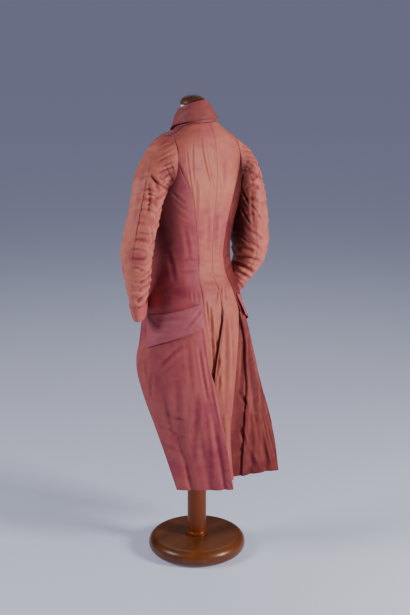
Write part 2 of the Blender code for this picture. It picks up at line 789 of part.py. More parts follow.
def makeSleeves(material):
    halves = {"upper": sleeveSeamTurn - 180.0, "under": sleeveSeamTurn}
    for side in ("left", "right"):
        for half, start in halves.items():
            def pointAt(column, row, start=start, side=side):
                around = start + 180.0 * column / sleeveColumns
                return sleevePoint(side, around, row / sleeveRows)

            def normalAt(column, row, start=start, side=side):
                if row:
                    return None
                return bodyNormal(start + 180.0 * column / sleeveColumns, side)
            clothPiece(
                f"sleeve_{side}_{half}", pointAt, sleeveColumns, sleeveRows, material,
                normalAt=normalAt, flip=side == "right")


def makeCuffs(material):
    for side in ("left", "right"):
        def pointAt(column, row, side=side):
            around = cuffSlit + (360.0 - 2.0 * cuffSlit) * column / cuffColumns + cuffOpeningTurn
            share = mix(cuffStart, 1.0, row / cuffRows)
            return sleevePoint(side, around, share, cuffStandOff)
        clothPiece("cuff_" + side, pointAt, cuffColumns, cuffRows, material, flip=side == "right")


def makeCollar(material):
    rows = collarStandRows + collarTurnRows + collarFallRows
    clothPiece("collar", collarPoint, collarColumns, rows, material, flip=True)


def makeFlaps(material):
    for side in ("left", "right"):
        clothPiece(
            "flap_" + side, lambda column, row: flapPoint(side, column, row),
            flapColumns, flapRows, material, flip=side == "right")


def formPoint(column, height):
    """The padded form: the coat's body drawn in, running up into a neck."""
    turn = 360.0 * column / formColumns
    angle = math.radians(turn)
    floor = 1.0 - ease(formFloor, 0.90, height)
    rear = ease(-0.6, 0.1, math.cos(angle))
    front = (1.0 - math.cos(angle)) / 2.0
    level = min(max(height, formWaistHeight), formNeckHeight)
    inset = mix(formInset, formShoulderInset, ease(1.19, 1.225, height) * rear)
    point = bodyPoint(turn, level, inset)
    drop = point.z - level
    point.z = height + drop
    point.x *= 1.0 - 0.10 * floor
    point.y *= 1.0 - 0.10 * floor
    neck = Vector((neckRadius * math.sin(angle), neckLean + neckRadius * math.cos(angle), height))
    return mix(point, neck, ease(1.240 - 0.025 * front, 1.272 - 0.025 * front, height))


def makeForm(material):
    bm = bmesh.new()
    loops = []
    for height in formHeights:
        loops.append([bm.verts.new(formPoint(column, height)) for column in range(formColumns)])
    for low, high in zip(loops, loops[1:]):
        for column in range(formColumns):
            after = (column + 1) % formColumns
            bm.faces.new((low[column], low[after], high[after], high[column]))
    bm.faces.new(loops[0])
    bm.faces.new(loops[-1])
    bmesh.ops.recalc_face_normals(bm, faces=bm.faces[:])
    bmesh.ops.triangulate(bm, faces=bm.faces[:])
    mesh = bpy.data.meshes.new("form_torso")
    bm.to_mesh(mesh)
    bm.free()
    mesh.shade_smooth()
    mesh.materials.append(material)
    coatCollection.objects.link(bpy.data.objects.new("form_torso", mesh))


def makeStand(wood, darkWood):
    edgeRadius = baseThickness / 2.0
    profile = [(0.0, baseThickness), (postRadius + 0.012, baseThickness)]
    profile += arcPoints(baseRadius - edgeRadius, edgeRadius, edgeRadius, 90.0, -90.0, 9)
    profile += [(0.0, 0.0)]
    turnedPiece("stand_base", profile, wood, 36)
    foot = baseThickness + seamGap
    top = formFloor - seamGap
    profile = [(0.0, top), (postRadius, top), (postRadius, foot + 0.012), (postRadius + 0.004, foot + 0.008)]
    profile += [(postRadius + 0.004, foot), (0.0, foot)]
    turnedPiece("stand_post", profile, wood, 24)
    rim = neckTop + seamGap
    profile = [(0.0, rim + capHeight)]
    profile += [
        (capRadius * math.sin(math.radians(turn)),
         rim + capRim + (capHeight - capRim) * math.cos(math.radians(turn)))
        for turn in (18.0, 36.0, 54.0, 72.0, 90.0)]
    profile += [(capRadius, rim), (0.0, rim)]
    turnedPiece("form_neck_cap", profile, darkWood, 24, neckLean)


clearScene()
coatCollection = bpy.data.collections.new("coat_on_dress_form")
bpy.context.scene.collection.children.link(coatCollection)
taffeta = makeMaterial("rose_taffeta", (0.52, 0.18, 0.17), 0.45)
sideTaffeta = makeMaterial("rose_taffeta_flap", (0.42, 0.15, 0.18), 0.45)
formCloth = makeMaterial("form_cloth", (0.80, 0.78, 0.72), 0.85)
standWood = makeMaterial("turned_wood", (0.30, 0.13, 0.05), 0.35)
capWood = makeMaterial("dark_cap_wood", (0.05, 0.022, 0.012), 0.30)
makeBacks(taffeta)
makeFronts(taffeta)
makeSleeves(taffeta)
makeCuffs(taffeta)
makeCollar(taffeta)
makeFlaps(sideTaffeta)
makeForm(formCloth)
makeStand(standWood, capWood)
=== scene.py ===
import math
from bisect import bisect_right
from collections import namedtuple
from functools import lru_cache

import bmesh
import bpy
import numpy as np
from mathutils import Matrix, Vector, kdtree, noise


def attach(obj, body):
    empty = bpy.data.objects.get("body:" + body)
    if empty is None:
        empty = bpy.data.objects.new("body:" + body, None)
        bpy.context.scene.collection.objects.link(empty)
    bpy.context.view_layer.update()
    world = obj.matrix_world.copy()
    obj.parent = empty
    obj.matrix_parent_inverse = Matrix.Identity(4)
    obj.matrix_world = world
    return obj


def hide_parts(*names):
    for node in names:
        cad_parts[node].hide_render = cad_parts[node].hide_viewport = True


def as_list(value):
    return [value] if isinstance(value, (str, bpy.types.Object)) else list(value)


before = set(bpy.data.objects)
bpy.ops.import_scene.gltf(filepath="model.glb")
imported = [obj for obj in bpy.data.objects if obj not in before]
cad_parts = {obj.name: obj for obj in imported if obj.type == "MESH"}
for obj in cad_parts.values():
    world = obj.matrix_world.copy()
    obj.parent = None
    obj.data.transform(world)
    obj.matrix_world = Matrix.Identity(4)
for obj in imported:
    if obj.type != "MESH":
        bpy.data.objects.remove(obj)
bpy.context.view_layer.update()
print("frame loaded")

# The solids' own sizes and functions, so that the cloth here lies on the same form.
# Only armholeShrink differs, to set each sleeve's head closer in its armhole.
# Driving sizes in metres: +Z is up, the front faces -Y, the wearer's left is +X.
wallThickness = 0.0018
seamGap = 0.0003
squareness = 2.3
baseRadius = 0.145
baseThickness = 0.049
postRadius = 0.028
formFloor = 0.700
neckTop = 1.331
neckRadius = 0.033
neckLean = -0.012
capRadius = 0.035
capHeight = 0.026
capRim = 0.004
foldBackGap = 0.0075
cuffStandOff = 0.0034
sleeveClearance = 0.0020
armholeShrink = 0.9975
shoulderShrink = 0.996
flapStandOffs = {"left": 0.0012, "right": 0.0020}

# Where the armhole lies on the body: heights, and turns from the centre back in degrees.
armholeMiddle = 1.1755
armholeReach = 0.0800
armholeTurn = 88.0
armholeLean = -4.0
armholeBackOpening = 39.0
armholeFrontOpening = 41.0
neckSeamTurn = 74.0
rightHemDrop = 0.008
hipClearance = 0.45
hipClearanceFade = 0.03
backBulge = 0.006


def table(kind, rows):
    return tuple(kind(*row) for row in rows)


BodyRing = namedtuple("BodyRing", "height halfWidth back front frontDrop")
bodyRings = table(BodyRing, (
    (0.560, 0.190, 0.128, -0.150, 0.000),
    (0.640, 0.182, 0.124, -0.150, 0.000),
    (0.740, 0.165, 0.106, -0.138, 0.000),
    (0.810, 0.144, 0.093, -0.132, 0.000),
    (0.860, 0.134, 0.069, -0.124, 0.000),
    (0.920, 0.128, 0.063, -0.117, 0.000),
    (0.990, 0.141, 0.067, -0.118, 0.000),
    (1.040, 0.158, 0.073, -0.119, 0.000),
    (1.110, 0.166, 0.080, -0.116, 0.000),
    (1.180, 0.163, 0.081, -0.107, 0.000),
    (1.215, 0.147, 0.078, -0.097, 0.000),
    (1.242, 0.123, 0.072, -0.086, 0.004),
    (1.265, 0.086, 0.062, -0.075, 0.014),
    (1.286, 0.060, 0.051, -0.062, 0.045),
))

# Turns of the side back seam and of the front edge around the body, in degrees.
SeamRow = namedtuple("SeamRow", "height turn")
sideBackSeam = table(SeamRow, (
    (0.810, 22.4),
    (0.860, 20.6),
    (0.920, 19.8),
    (0.980, 21.5),
    (1.040, 22.8),
    (1.100, 28.0),
    (1.145, 37.0),
    (1.175, 43.5),
    (1.205, 51.9),
))
frontEdge = table(SeamRow, (
    (0.810, 138.0),
    (0.860, 151.0),
    (0.920, 162.0),
    (1.000, 169.0),
    (1.100, 172.0),
    (1.200, 171.0),
    (1.286, 166.0),
))

# Plan sections of the side skirts, from the pleat's fold round to the front edge.
SideSection = namedtuple(
    "SideSection", "height foldX foldY rearPullX rearPullY frontPullX frontPullY frontX frontY")
sideSkirts = {
    "left": table(SideSection, (
        (0.229, -0.006, 0.140, 0.030, 0.115, 0.080, 0.065, 0.108, 0.024),
        (0.330, 0.012, 0.137, 0.055, 0.110, 0.105, 0.055, 0.128, 0.000),
        (0.430, 0.029, 0.131, 0.085, 0.110, 0.145, 0.030, 0.150, -0.024),
        (0.520, 0.046, 0.125, 0.110, 0.115, 0.185, 0.015, 0.172, -0.044),
        (0.600, 0.064, 0.113, 0.140, 0.105, 0.207, -0.008, 0.168, -0.076),
        (0.680, 0.073, 0.106, 0.150, 0.098, 0.200, -0.035, 0.132, -0.098),
        (0.740, 0.075, 0.104, 0.145, 0.097, 0.188, -0.050, 0.104, -0.116),
        (0.810, 0.066, 0.092, 0.125, 0.088, 0.175, -0.060, 0.100, -0.125),
    )),
    "right": table(SideSection, (
        (0.229, 0.115, 0.082, 0.150, 0.092, 0.190, 0.110, 0.225, 0.129),
        (0.320, 0.112, 0.091, 0.145, 0.100, 0.185, 0.113, 0.219, 0.117),
        (0.410, 0.110, 0.098, 0.145, 0.102, 0.190, 0.100, 0.215, 0.092),
        (0.500, 0.113, 0.101, 0.155, 0.098, 0.200, 0.085, 0.208, 0.058),
        (0.590, 0.113, 0.099, 0.162, 0.093, 0.212, 0.042, 0.203, 0.002),
        (0.680, 0.100, 0.100, 0.155, 0.090, 0.205, -0.020, 0.165, -0.072),
        (0.740, 0.083, 0.097, 0.135, 0.088, 0.190, -0.045, 0.125, -0.110),
        (0.810, 0.066, 0.088, 0.108, 0.080, 0.170, -0.060, 0.100, -0.125),
    )),
}

# Plan sections of the back skirts, from the vent to the edge hidden in the pleat.
BackSection = namedtuple("BackSection", "height ventX ventY edgeX edgeY")
backSkirts = {
    "left": table(BackSection, (
        (0.229, 0.006, 0.060, 0.058, 0.050),
        (0.320, 0.006, 0.066, 0.062, 0.058),
        (0.410, 0.000, 0.074, 0.068, 0.066),
        (0.500, -0.005, 0.082, 0.078, 0.074),
        (0.590, -0.013, 0.087, 0.086, 0.078),
        (0.680, -0.018, 0.092, 0.088, 0.080),
        (0.757, -0.003, 0.099, 0.078, 0.086),
        (0.810, 0.0015, 0.093, 0.063, 0.090),
    )),
    "right": table(BackSection, (
        (0.229, 0.015, 0.055, 0.077, 0.080),
        (0.320, -0.002, 0.070, 0.058, 0.086),
        (0.404, -0.012, 0.086, 0.045, 0.0955),
        (0.466, -0.022, 0.097, 0.042, 0.106),
        (0.557, -0.030, 0.101, 0.050, 0.109),
        (0.680, -0.008, 0.102, 0.065, 0.105),
        (0.757, 0.001, 0.106, 0.069, 0.100),
        (0.810, 0.0015, 0.093, 0.063, 0.090),
    )),
}

# Where the under layer of each hip pleat ends, in plan.
PleatRow = namedtuple("PleatRow", "height endX endY")
pleatEnds = {
    "left": table(PleatRow, (
        (0.229, 0.032, 0.090),
        (0.320, 0.050, 0.088),
        (0.430, 0.068, 0.090),
        (0.520, 0.084, 0.094),
        (0.600, 0.093, 0.091),
        (0.700, 0.094, 0.091),
        (0.780, 0.086, 0.095),
    )),
    "right": table(PleatRow, (
        (0.229, 0.060, 0.050),
        (0.320, 0.055, 0.062),
        (0.430, 0.050, 0.078),
        (0.520, 0.055, 0.086),
        (0.600, 0.066, 0.086),
        (0.700, 0.078, 0.084),
        (0.780, 0.078, 0.086),
    )),
}

# Sleeve rings below the armhole: centre, half width across, half depth front to back.
SleeveRing = namedtuple("SleeveRing", "x y z halfWide halfDeep turn")
sleeveRings = {
    "left": table(SleeveRing, (
        (0.164, 0.000, 1.150, 0.042, 0.056, 0.0),
        (0.193, 0.003, 1.090, 0.038, 0.048, 0.0),
        (0.212, 0.004, 1.030, 0.037, 0.046, 0.0),
        (0.222, -0.006, 0.965, 0.038, 0.046, 0.0),
        (0.215, -0.018, 0.915, 0.037, 0.042, 5.0),
        (0.205, -0.025, 0.870, 0.037, 0.035, 15.0),
        (0.196, -0.033, 0.820, 0.038, 0.024, 28.0),
        (0.183, -0.044, 0.760, 0.038, 0.017, 40.0),
    )),
    "right": table(SleeveRing, (
        (0.170, 0.003, 1.156, 0.042, 0.057, 0.0),
        (0.196, 0.010, 1.090, 0.040, 0.053, 0.0),
        (0.201, 0.015, 1.030, 0.047, 0.057, 0.0),
        (0.204, 0.016, 0.965, 0.051, 0.059, 0.0),
        (0.213, 0.011, 0.900, 0.050, 0.056, 0.0),
        (0.218, -0.008, 0.852, 0.038, 0.043, 10.0),
        (0.206, -0.034, 0.805, 0.037, 0.031, 24.0),
        (0.190, -0.058, 0.765, 0.037, 0.020, 36.0),
    )),
}

# Large folds of a sleeve: share of the length, turn around it, and the trough's size.
SleeveFold = namedtuple("SleeveFold", "along around halfLength halfTurn depth lean")
sleeveFolds = {
    "left": table(SleeveFold, (
        (0.22, 285.0, 0.022, 40.0, 0.0060, 0.0009),
        (0.36, 300.0, 0.022, 45.0, 0.0050, -0.0007),
        (0.52, 120.0, 0.024, 55.0, 0.0060, 0.0006),
        (0.62, 300.0, 0.024, 50.0, 0.0050, 0.0008),
        (0.74, 60.0, 0.022, 60.0, 0.0040, -0.0006),
    )),
    "right": table(SleeveFold, (
        (0.20, 280.0, 0.022, 40.0, 0.0050, -0.0008),
        (0.40, 250.0, 0.022, 45.0, 0.0045, 0.0007),
        (0.60, 110.0, 0.024, 60.0, 0.0065, 0.0005),
        (0.66, 290.0, 0.022, 50.0, 0.0060, -0.0008),
        (0.78, 70.0, 0.022, 60.0, 0.0040, 0.0006),
    )),
}

# Soft flutes of the side skirts: share across at the hem and at the top of the flute.
Flute = namedtuple("Flute", "hemShare topShare topHeight halfWidth depth")
skirtFlutes = {
    "left": table(Flute, (
        (0.16, 0.10, 0.62, 0.050, 0.0060),
        (0.42, 0.34, 0.50, 0.060, 0.0050),
        (0.72, 0.62, 0.60, 0.060, 0.0065),
    )),
    "right": table(Flute, (
        (0.24, 0.14, 0.66, 0.080, 0.0060),
        (0.68, 0.48, 0.56, 0.080, 0.0065),
    )),
}

# Rows of the panels, from the hem to the neck.
skirtHeights = (
    0.229, 0.285, 0.345, 0.405, 0.460, 0.515, 0.565, 0.615, 0.660, 0.705, 0.745, 0.780, 0.810)
bodyHeights = (0.838, 0.875, 0.920, 0.965, 1.015, 1.062)
armholeAngles = (30.0, 60.0, 90.0, 121.0, 150.0, 180.0)
shoulderHeights = (1.264, 1.275, 1.286)
hipRow = len(skirtHeights) - 1
pleatTopRow = hipRow - 2
armholeRow = hipRow + len(bodyHeights) + 1
seamTopRow = armholeRow + 3
shoulderRow = armholeRow + 5
neckRow = shoulderRow + len(shoulderHeights)

# Columns of a front panel: the side block, the armhole's floor and the chest.
sideColumns = 4
floorColumns = 2
chestColumns = 9
frontColumns = sideColumns + floorColumns + chestColumns
backColumns = 7
pleatColumns = 3

# The collar: a stand, its turn over, and the fall, from centre back to each end.
collarReachTurn = 163.0
collarColumns = 28
collarStandRows = 4
collarTurnRows = 3
collarFallRows = 4
collarTopRadius = 0.0385
collarTopLean = -0.013
collarTopBack = 1.343
collarTopDrop = 0.036
collarTurnRadius = 0.0022
collarFallLift = 0.13
collarFallFlare = 0.0075
collarFallBow = 0.002
collarLift = seamGap * 1.4

# The pocket flaps, as shares across the side skirt and heights.
flapColumns = 11
flapRows = 4
flapRearShare = 0.03
flapFrontShare = 0.72
flapTopRear = 0.797
flapTopFront = 0.752
flapRearDrop = 0.062
flapFrontDrop = 0.088
flapHemLift = 0.002
flapRearLift = 0.006

# The two halves of a sleeve meet at the fore-arm seam and the hind-arm seam.
sleeveColumns = 10
sleeveRows = 17
sleeveSeamTurn = 62.0
cuffColumns = 18
cuffRows = 2
cuffSlit = 1.2
cuffStart = 0.915
cuffOpeningTurn = 240.0
sleeveHeadLean = Vector((0.55, 0.0, -0.35))
sleeveHeadReach = 0.055
sleeveHeadClearance = 0.2
sleeveFoldsStart = (0.06, 0.16)
sleeveFoldsEnd = (0.86, 0.94)

# The padded form stands inside the coat and carries it on the shoulders.
formColumns = 24
formInset = 0.0115
formShoulderInset = 0.0034
formWaistHeight = 0.83
formNeckHeight = 1.262
formFloorDraw = 0.10
formFloorBand = (formFloor, 0.90)
formRearBand = (-0.6, 0.1)
formShoulderBand = (1.19, 1.225)
formNeckBand = (1.240, 1.272)
formFrontDrop = 0.025
formHeights = (
    0.700, 0.760, 0.840, 0.920, 0.990, 1.050, 1.110, 1.160,
    1.195, 1.220, 1.238, 1.250, 1.262, 1.275, 1.300, 1.331)

# Skirts hang free below this band, in which they leave the body's own form.
hangLow = 0.745
hangHigh = 0.810
hemSettle = 0.340
fluteFade = 0.35
evenColumnsBelow = 0.92
floorDipFrom = 1.0


def mix(first, second, share):
    return first + (second - first) * share


def ease(start, end, value):
    share = min(max((value - start) / (end - start), 0.0), 1.0)
    return share * share * (3.0 - 2.0 * share)


def hangShare(height):
    return 1.0 - ease(hangLow, hangHigh, height)


def bend(start, startSlope, end, endSlope, share):
    return (
        (2 * share**3 - 3 * share**2 + 1) * start
        + (share**3 - 2 * share**2 + share) * startSlope
        + (3 * share**2 - 2 * share**3) * end
        + (share**3 - share**2) * endSlope)


def readTable(rows, key):
    keys = [row[0] for row in rows]
    key = min(max(key, keys[0]), keys[-1])
    low = min(max(bisect_right(keys, key) - 1, 0), len(rows) - 2)
    high = low + 1
    before = max(low - 1, 0)
    after = min(high + 1, len(rows) - 1)
    span = keys[high] - keys[low]
    share = (key - keys[low]) / span
    values = [key]
    for column in range(1, len(rows[0])):
        start = rows[low][column]
        end = rows[high][column]
        startSlope = (end - rows[before][column]) / (keys[high] - keys[before]) * span
        endSlope = (rows[after][column] - start) / (keys[after] - keys[low]) * span
        values.append(bend(start, startSlope, end, endSlope, share))
    return type(rows[0])(*values)


def bodyPoint(turn, height, inset=0.0):
    ring = readTable(bodyRings, height)
    angle = math.radians(turn)
    power = 2.0 / squareness
    across = math.copysign(abs(math.sin(angle)) ** power, math.sin(angle))
    along = math.copysign(abs(math.cos(angle)) ** power, math.cos(angle))
    middle = (ring.back + ring.front) / 2.0
    reach = (ring.back - ring.front) / 2.0 - inset
    drop = ring.frontDrop * ((1.0 - math.cos(angle)) / 2.0) ** 2
    return Vector(((ring.halfWidth - inset) * across, middle + reach * along, height - drop))


def mirrored(point, side):
    return point if side == "left" else Vector((-point.x, point.y, point.z))


def armholeAngleAt(row):
    low = min(int(row), shoulderRow - 1)
    index = low - armholeRow
    return mix(armholeAngles[index], armholeAngles[index + 1], row - low)


def armholeEdge(angle, opening):
    radians = math.radians(angle)
    turn = armholeTurn + armholeLean * angle / 180.0 + opening * math.sin(radians)
    return turn, armholeMiddle - armholeReach * math.cos(radians)


rowHeights = (
    list(skirtHeights) + list(bodyHeights)
    + [armholeEdge(angle, 0.0)[1] for angle in armholeAngles] + list(shoulderHeights))


def rowHeight(row):
    if armholeRow <= row < shoulderRow:
        return armholeEdge(armholeAngleAt(row), 0.0)[1]
    low = min(max(int(row), 0), len(rowHeights) - 2)
    return mix(rowHeights[low], rowHeights[low + 1], row - low)


def shoulderSeamTurn(row):
    top = armholeTurn + armholeLean
    return mix(top, neckSeamTurn, (row - shoulderRow) / (neckRow - shoulderRow))


def backEdgeTurn(row):
    if row <= seamTopRow:
        return readTable(sideBackSeam, rowHeight(row)).turn
    if row <= shoulderRow:
        return armholeEdge(armholeAngleAt(row), -armholeBackOpening)[0]
    return shoulderSeamTurn(row)


def fluteDepth(side, share, height):
    depth = 0.0
    for flute in skirtFlutes[side]:
        rise = (height - skirtHeights[0]) / (flute.topHeight - skirtHeights[0])
        if rise < 1.0:
            centre = mix(flute.hemShare, flute.topShare, rise)
            fade = 1.0 - ease(fluteFade, 1.0, rise)
            depth += flute.depth * fade * math.exp(-(((share - centre) / flute.halfWidth) ** 2))
    return depth


def sideSkirtPoint(side, share, height):
    row = readTable(sideSkirts[side], height)
    rest = 1.0 - share
    weights = (rest**3, 3 * rest**2 * share, 3 * rest * share**2, share**3)
    x = sum(w * v for w, v in zip(weights, (row.foldX, row.rearPullX, row.frontPullX, row.frontX)))
    y = sum(w * v for w, v in zip(weights, (row.foldY, row.rearPullY, row.frontPullY, row.frontY)))
    return Vector((x, y, height))


def skirtInward(side, share, height):
    step = 0.01
    along = sideSkirtPoint(side, min(share + step, 1.0), height)
    along = along - sideSkirtPoint(side, max(share - step, 0.0), height)
    return Vector((along.y, -along.x, 0.0)).normalized()


def frontTurn(column, row):
    height = rowHeight(row)
    seam = backEdgeTurn(min(row, seamTopRow))
    edge = readTable(frontEdge, height).turn
    chestStart = sideColumns + floorColumns
    if row >= armholeRow and column <= sideColumns:
        angle = armholeAngleAt(min(row, seamTopRow))
        return mix(seam, armholeEdge(angle, -armholeBackOpening)[0], column / sideColumns)
    if row >= armholeRow and column >= chestStart:
        start = shoulderSeamTurn(row)
        if row < shoulderRow:
            start = armholeEdge(armholeAngleAt(row), armholeFrontOpening)[0]
        return mix(start, edge, (column - chestStart) / chestColumns)
    floorAngle = armholeAngles[0]
    floorStart = armholeEdge(floorAngle, -armholeBackOpening)[0]
    floorEnd = armholeEdge(floorAngle, armholeFrontOpening)[0]
    if column <= sideColumns:
        worn = mix(seam, floorStart, column / sideColumns)
    elif column >= chestStart:
        worn = mix(floorEnd, edge, (column - chestStart) / chestColumns)
    else:
        worn = mix(floorStart, floorEnd, (column - sideColumns) / floorColumns)
    even = mix(seam, edge, column / frontColumns)
    return mix(even, worn, ease(evenColumnsBelow, rowHeights[armholeRow], height))


def floorDip(column, row):
    middle = sideColumns + floorColumns / 2.0
    reach = floorColumns / 2.0
    if abs(column - middle) >= reach or row > armholeRow:
        return 0.0
    angle = armholeAngles[0] * (column - middle) / reach
    dip = armholeReach * (math.cos(math.radians(angle)) - math.cos(math.radians(armholeAngles[0])))
    return dip * ease(floorDipFrom, rowHeights[armholeRow], rowHeight(row))


def hung(point, side):
    drop = rightHemDrop if side == "right" else 0.0
    point.z -= drop * (1.0 - ease(skirtHeights[0], hemSettle, point.z))
    return mirrored(point, side)


def frontPoint(side, column, row):
    height = rowHeight(row)
    share = max(column, 0.0) / frontColumns
    turn = frontTurn(max(column, 0.0), row)
    worn = bodyPoint(turn, height - floorDip(column, row))
    if height >= skirtHeights[-1]:
        return mirrored(worn, side)
    if column < 0.0:
        return hung(pleatPoint(side, -column, height), side)
    skirt = sideSkirtPoint(side, share, height)
    skirt = skirt + skirtInward(side, share, height) * fluteDepth(side, share, height)
    return hung(mix(worn, skirt, hangShare(height)), side)


def pleatPoint(side, column, height):
    edge = sideSkirtPoint(side, 0.0, height)
    worn = bodyPoint(readTable(sideBackSeam, height).turn, height)
    edge = mix(worn, edge, hangShare(height))
    inward = skirtInward(side, 0.0, height)
    rearward = Vector((inward.y, -inward.x, 0.0))
    radius = foldBackGap / 2.0
    turn = min(column, 1.0) * math.pi
    point = edge + inward * radius * (1.0 - math.cos(turn)) + rearward * radius * math.sin(turn)
    if column > 1.0:
        end = readTable(pleatEnds[side], height)
        share = (column - 1.0) / (pleatColumns - 1.0)
        point = mix(point, Vector((end.endX, end.endY, height)), share)
    return point


def backPoint(side, column, row):
    height = rowHeight(row)
    share = column / backColumns
    clearance = hipClearance * math.exp(-(((height - skirtHeights[-1]) / hipClearanceFade) ** 2))
    worn = bodyPoint(share * (backEdgeTurn(row) - clearance), height)
    if height >= skirtHeights[-1]:
        return mirrored(worn, side)
    section = readTable(backSkirts[side], height)
    skirtX = mix(section.ventX, section.edgeX, share)
    skirtY = mix(section.ventY, section.edgeY, share)
    skirt = Vector((skirtX, skirtY, height))
    bulge = backBulge * math.sin(math.pi * share)
    across = Vector((section.edgeX - section.ventX, section.edgeY - section.ventY, 0.0))
    across.normalize()
    skirt = skirt + Vector((-across.y, across.x, 0.0)) * bulge
    return hung(mix(worn, skirt, hangShare(height)), side)


def armholePoint(around):
    if around <= 180.0:
        return armholeEdge(180.0 - around, armholeFrontOpening)
    return armholeEdge(around - 180.0, -armholeBackOpening)


def sleeveRingPoint(side, index, around):
    rings = sleeveRings[side]
    ring = rings[index]
    ahead = rings[min(index + 1, len(rings) - 1)]
    behind = rings[max(index - 1, 0)]
    axis = Vector((ahead.x - behind.x, ahead.y - behind.y, ahead.z - behind.z)).normalized()
    if index == 0:
        axis = (axis + sleeveHeadLean).normalized()
    twist = math.radians(ring.turn)
    outward = Vector((math.cos(twist), math.sin(twist), 0.0))
    outward = (outward - axis * outward.dot(axis)).normalized()
    forward = axis.cross(outward).normalized()
    if forward.y > 0.0:
        forward = -forward
    angle = math.radians(around)
    reach = outward * ring.halfWide * math.cos(angle) + forward * ring.halfDeep * math.sin(angle)
    return Vector((ring.x, ring.y, ring.z)) + reach


@lru_cache(maxsize=None)
def sleeveLine(side, around):
    turn, height = armholePoint(around % 360.0)
    shrink = mix(armholeShrink, shoulderShrink, (1.0 + math.cos(math.radians(around))) / 2.0)
    turn = mix(armholeTurn, turn, shrink)
    height = mix(armholeMiddle, height, shrink)
    points = [bodyPoint(turn, height)]
    for index in range(len(sleeveRings[side])):
        points.append(sleeveRingPoint(side, index, around))
    return points


def curveAt(points, share):
    place = share * (len(points) - 1)
    low = min(int(place), len(points) - 2)
    part = place - low
    start = points[low]
    end = points[low + 1]
    startSlope = (end - points[max(low - 1, 0)]) / (2.0 if low > 0 else 1.0)
    last = low + 2 >= len(points)
    endSlope = (points[min(low + 2, len(points) - 1)] - start) / (1.0 if last else 2.0)
    return bend(start, startSlope, end, endSlope, part)


def sleeveFoldDepth(side, share, around):
    depth = 0.0
    for fold in sleeveFolds[side]:
        swing = (around - fold.around + 180.0) % 360.0 - 180.0
        drift = (share - fold.along - fold.lean * swing) / fold.halfLength
        depth += fold.depth * math.exp(-(drift**2) - (swing / fold.halfTurn) ** 2)
    return depth


def clearOfBody(point, distance):
    ring = readTable(bodyRings, point.z)
    middle = (ring.back + ring.front) / 2.0
    reach = (ring.back - ring.front) / 2.0
    across = abs(point.x) / ring.halfWidth
    along = abs(point.y - middle) / reach
    level = (across**squareness + along**squareness) ** (1.0 / squareness)
    wanted = 1.0 + distance / reach
    if level >= wanted:
        return point
    return Vector((point.x * wanted / level, middle + (point.y - middle) * wanted / level, point.z))


def sleevePoint(side, around, share, standOff=0.0):
    points = sleeveLine(side, around)
    point = curveAt(points, share)
    quarters = [curveAt(sleeveLine(side, turn), share) for turn in (0.0, 90.0, 180.0, 270.0)]
    centre = sum(quarters, Vector()) / 4.0
    outward = (point - centre).normalized()
    point = clearOfBody(point, sleeveClearance * mix(
        sleeveHeadClearance, 1.0, ease(0.0, sleeveHeadReach, share)))
    fade = ease(*sleeveFoldsStart, share) * (1.0 - ease(*sleeveFoldsEnd, share))
    point = point - outward * sleeveFoldDepth(side, share, around) * fade + outward * standOff
    return mirrored(point, side)


def collarPoint(column, row):
    turn = mix(-collarReachTurn, collarReachTurn, column / collarColumns)
    foot = bodyPoint(turn, shoulderHeights[-1])
    angle = math.radians(turn)
    lift = (1.0 - math.cos(angle)) / 2.0
    top = Vector((
        collarTopRadius * math.sin(angle), collarTopLean + collarTopRadius * math.cos(angle),
        collarTopBack - collarTopDrop * lift))
    foot = foot + Vector((0.0, 0.0, collarLift))
    outward = Vector((math.sin(angle), math.cos(angle), 0.0))
    if row <= collarStandRows:
        return mix(foot, top, row / collarStandRows)
    if row <= collarStandRows + collarTurnRows:
        over = math.pi * (row - collarStandRows) / collarTurnRows
        return top + outward * collarTurnRadius * (1.0 - math.cos(over)) + Vector(
            (0.0, 0.0, collarTurnRadius * math.sin(over)))
    down = (row - collarStandRows - collarTurnRows) / collarFallRows
    start = top + outward * 2.0 * collarTurnRadius
    end = mix(foot, top, collarFallLift) + outward * collarFallFlare
    return mix(start, end, down) + outward * collarFallBow * math.sin(math.pi * down)


def flapPoint(side, column, row):
    across = column / flapColumns
    down = row / flapRows
    share = mix(flapRearShare, flapFrontShare, across)
    height = mix(flapTopRear, flapTopFront, across)
    height -= down * mix(flapRearDrop, flapFrontDrop, across)
    skirt = sideSkirtPoint(side, share, height)
    turn = mix(readTable(sideBackSeam, height).turn, readTable(frontEdge, height).turn, share)
    worn = bodyPoint(turn, height)
    point = mix(worn, skirt, hangShare(height))
    lift = flapHemLift + flapRearLift * (1.0 - across) ** 2
    proud = flapStandOffs[side] + wallThickness + down * lift
    return mirrored(point - skirtInward(side, share, height) * proud, side)


def formPoint(column, height):
    turn = 360.0 * column / formColumns
    angle = math.radians(turn)
    floor = 1.0 - ease(*formFloorBand, height)
    rear = ease(*formRearBand, math.cos(angle))
    front = (1.0 - math.cos(angle)) / 2.0
    level = min(max(height, formWaistHeight), formNeckHeight)
    inset = mix(formInset, formShoulderInset, ease(*formShoulderBand, height) * rear)
    point = bodyPoint(turn, level, inset)
    point.z += height - level
    point.x *= 1.0 - formFloorDraw * floor
    point.y *= 1.0 - formFloorDraw * floor
    neck = Vector((neckRadius * math.sin(angle), neckLean + neckRadius * math.cos(angle), height))
    low, high = formNeckBand
    fall = formFrontDrop * front
    return mix(point, neck, ease(low - fall, high - fall, height))


def pullEdgesBack(bm, distance):
    moves = {}
    for edge in bm.edges:
        if not edge.is_boundary:
            continue
        face = edge.link_faces[0]
        direction = (edge.verts[1].co - edge.verts[0].co).normalized()
        inward = face.normal.cross(direction).normalized()
        middle = (edge.verts[0].co + edge.verts[1].co) / 2.0
        if inward.dot(face.calc_center_median() - middle) < 0.0:
            inward = -inward
        for vert in edge.verts:
            moves[vert] = moves.get(vert, Vector()) + inward
    for vert, move in moves.items():
        vert.co += move * distance


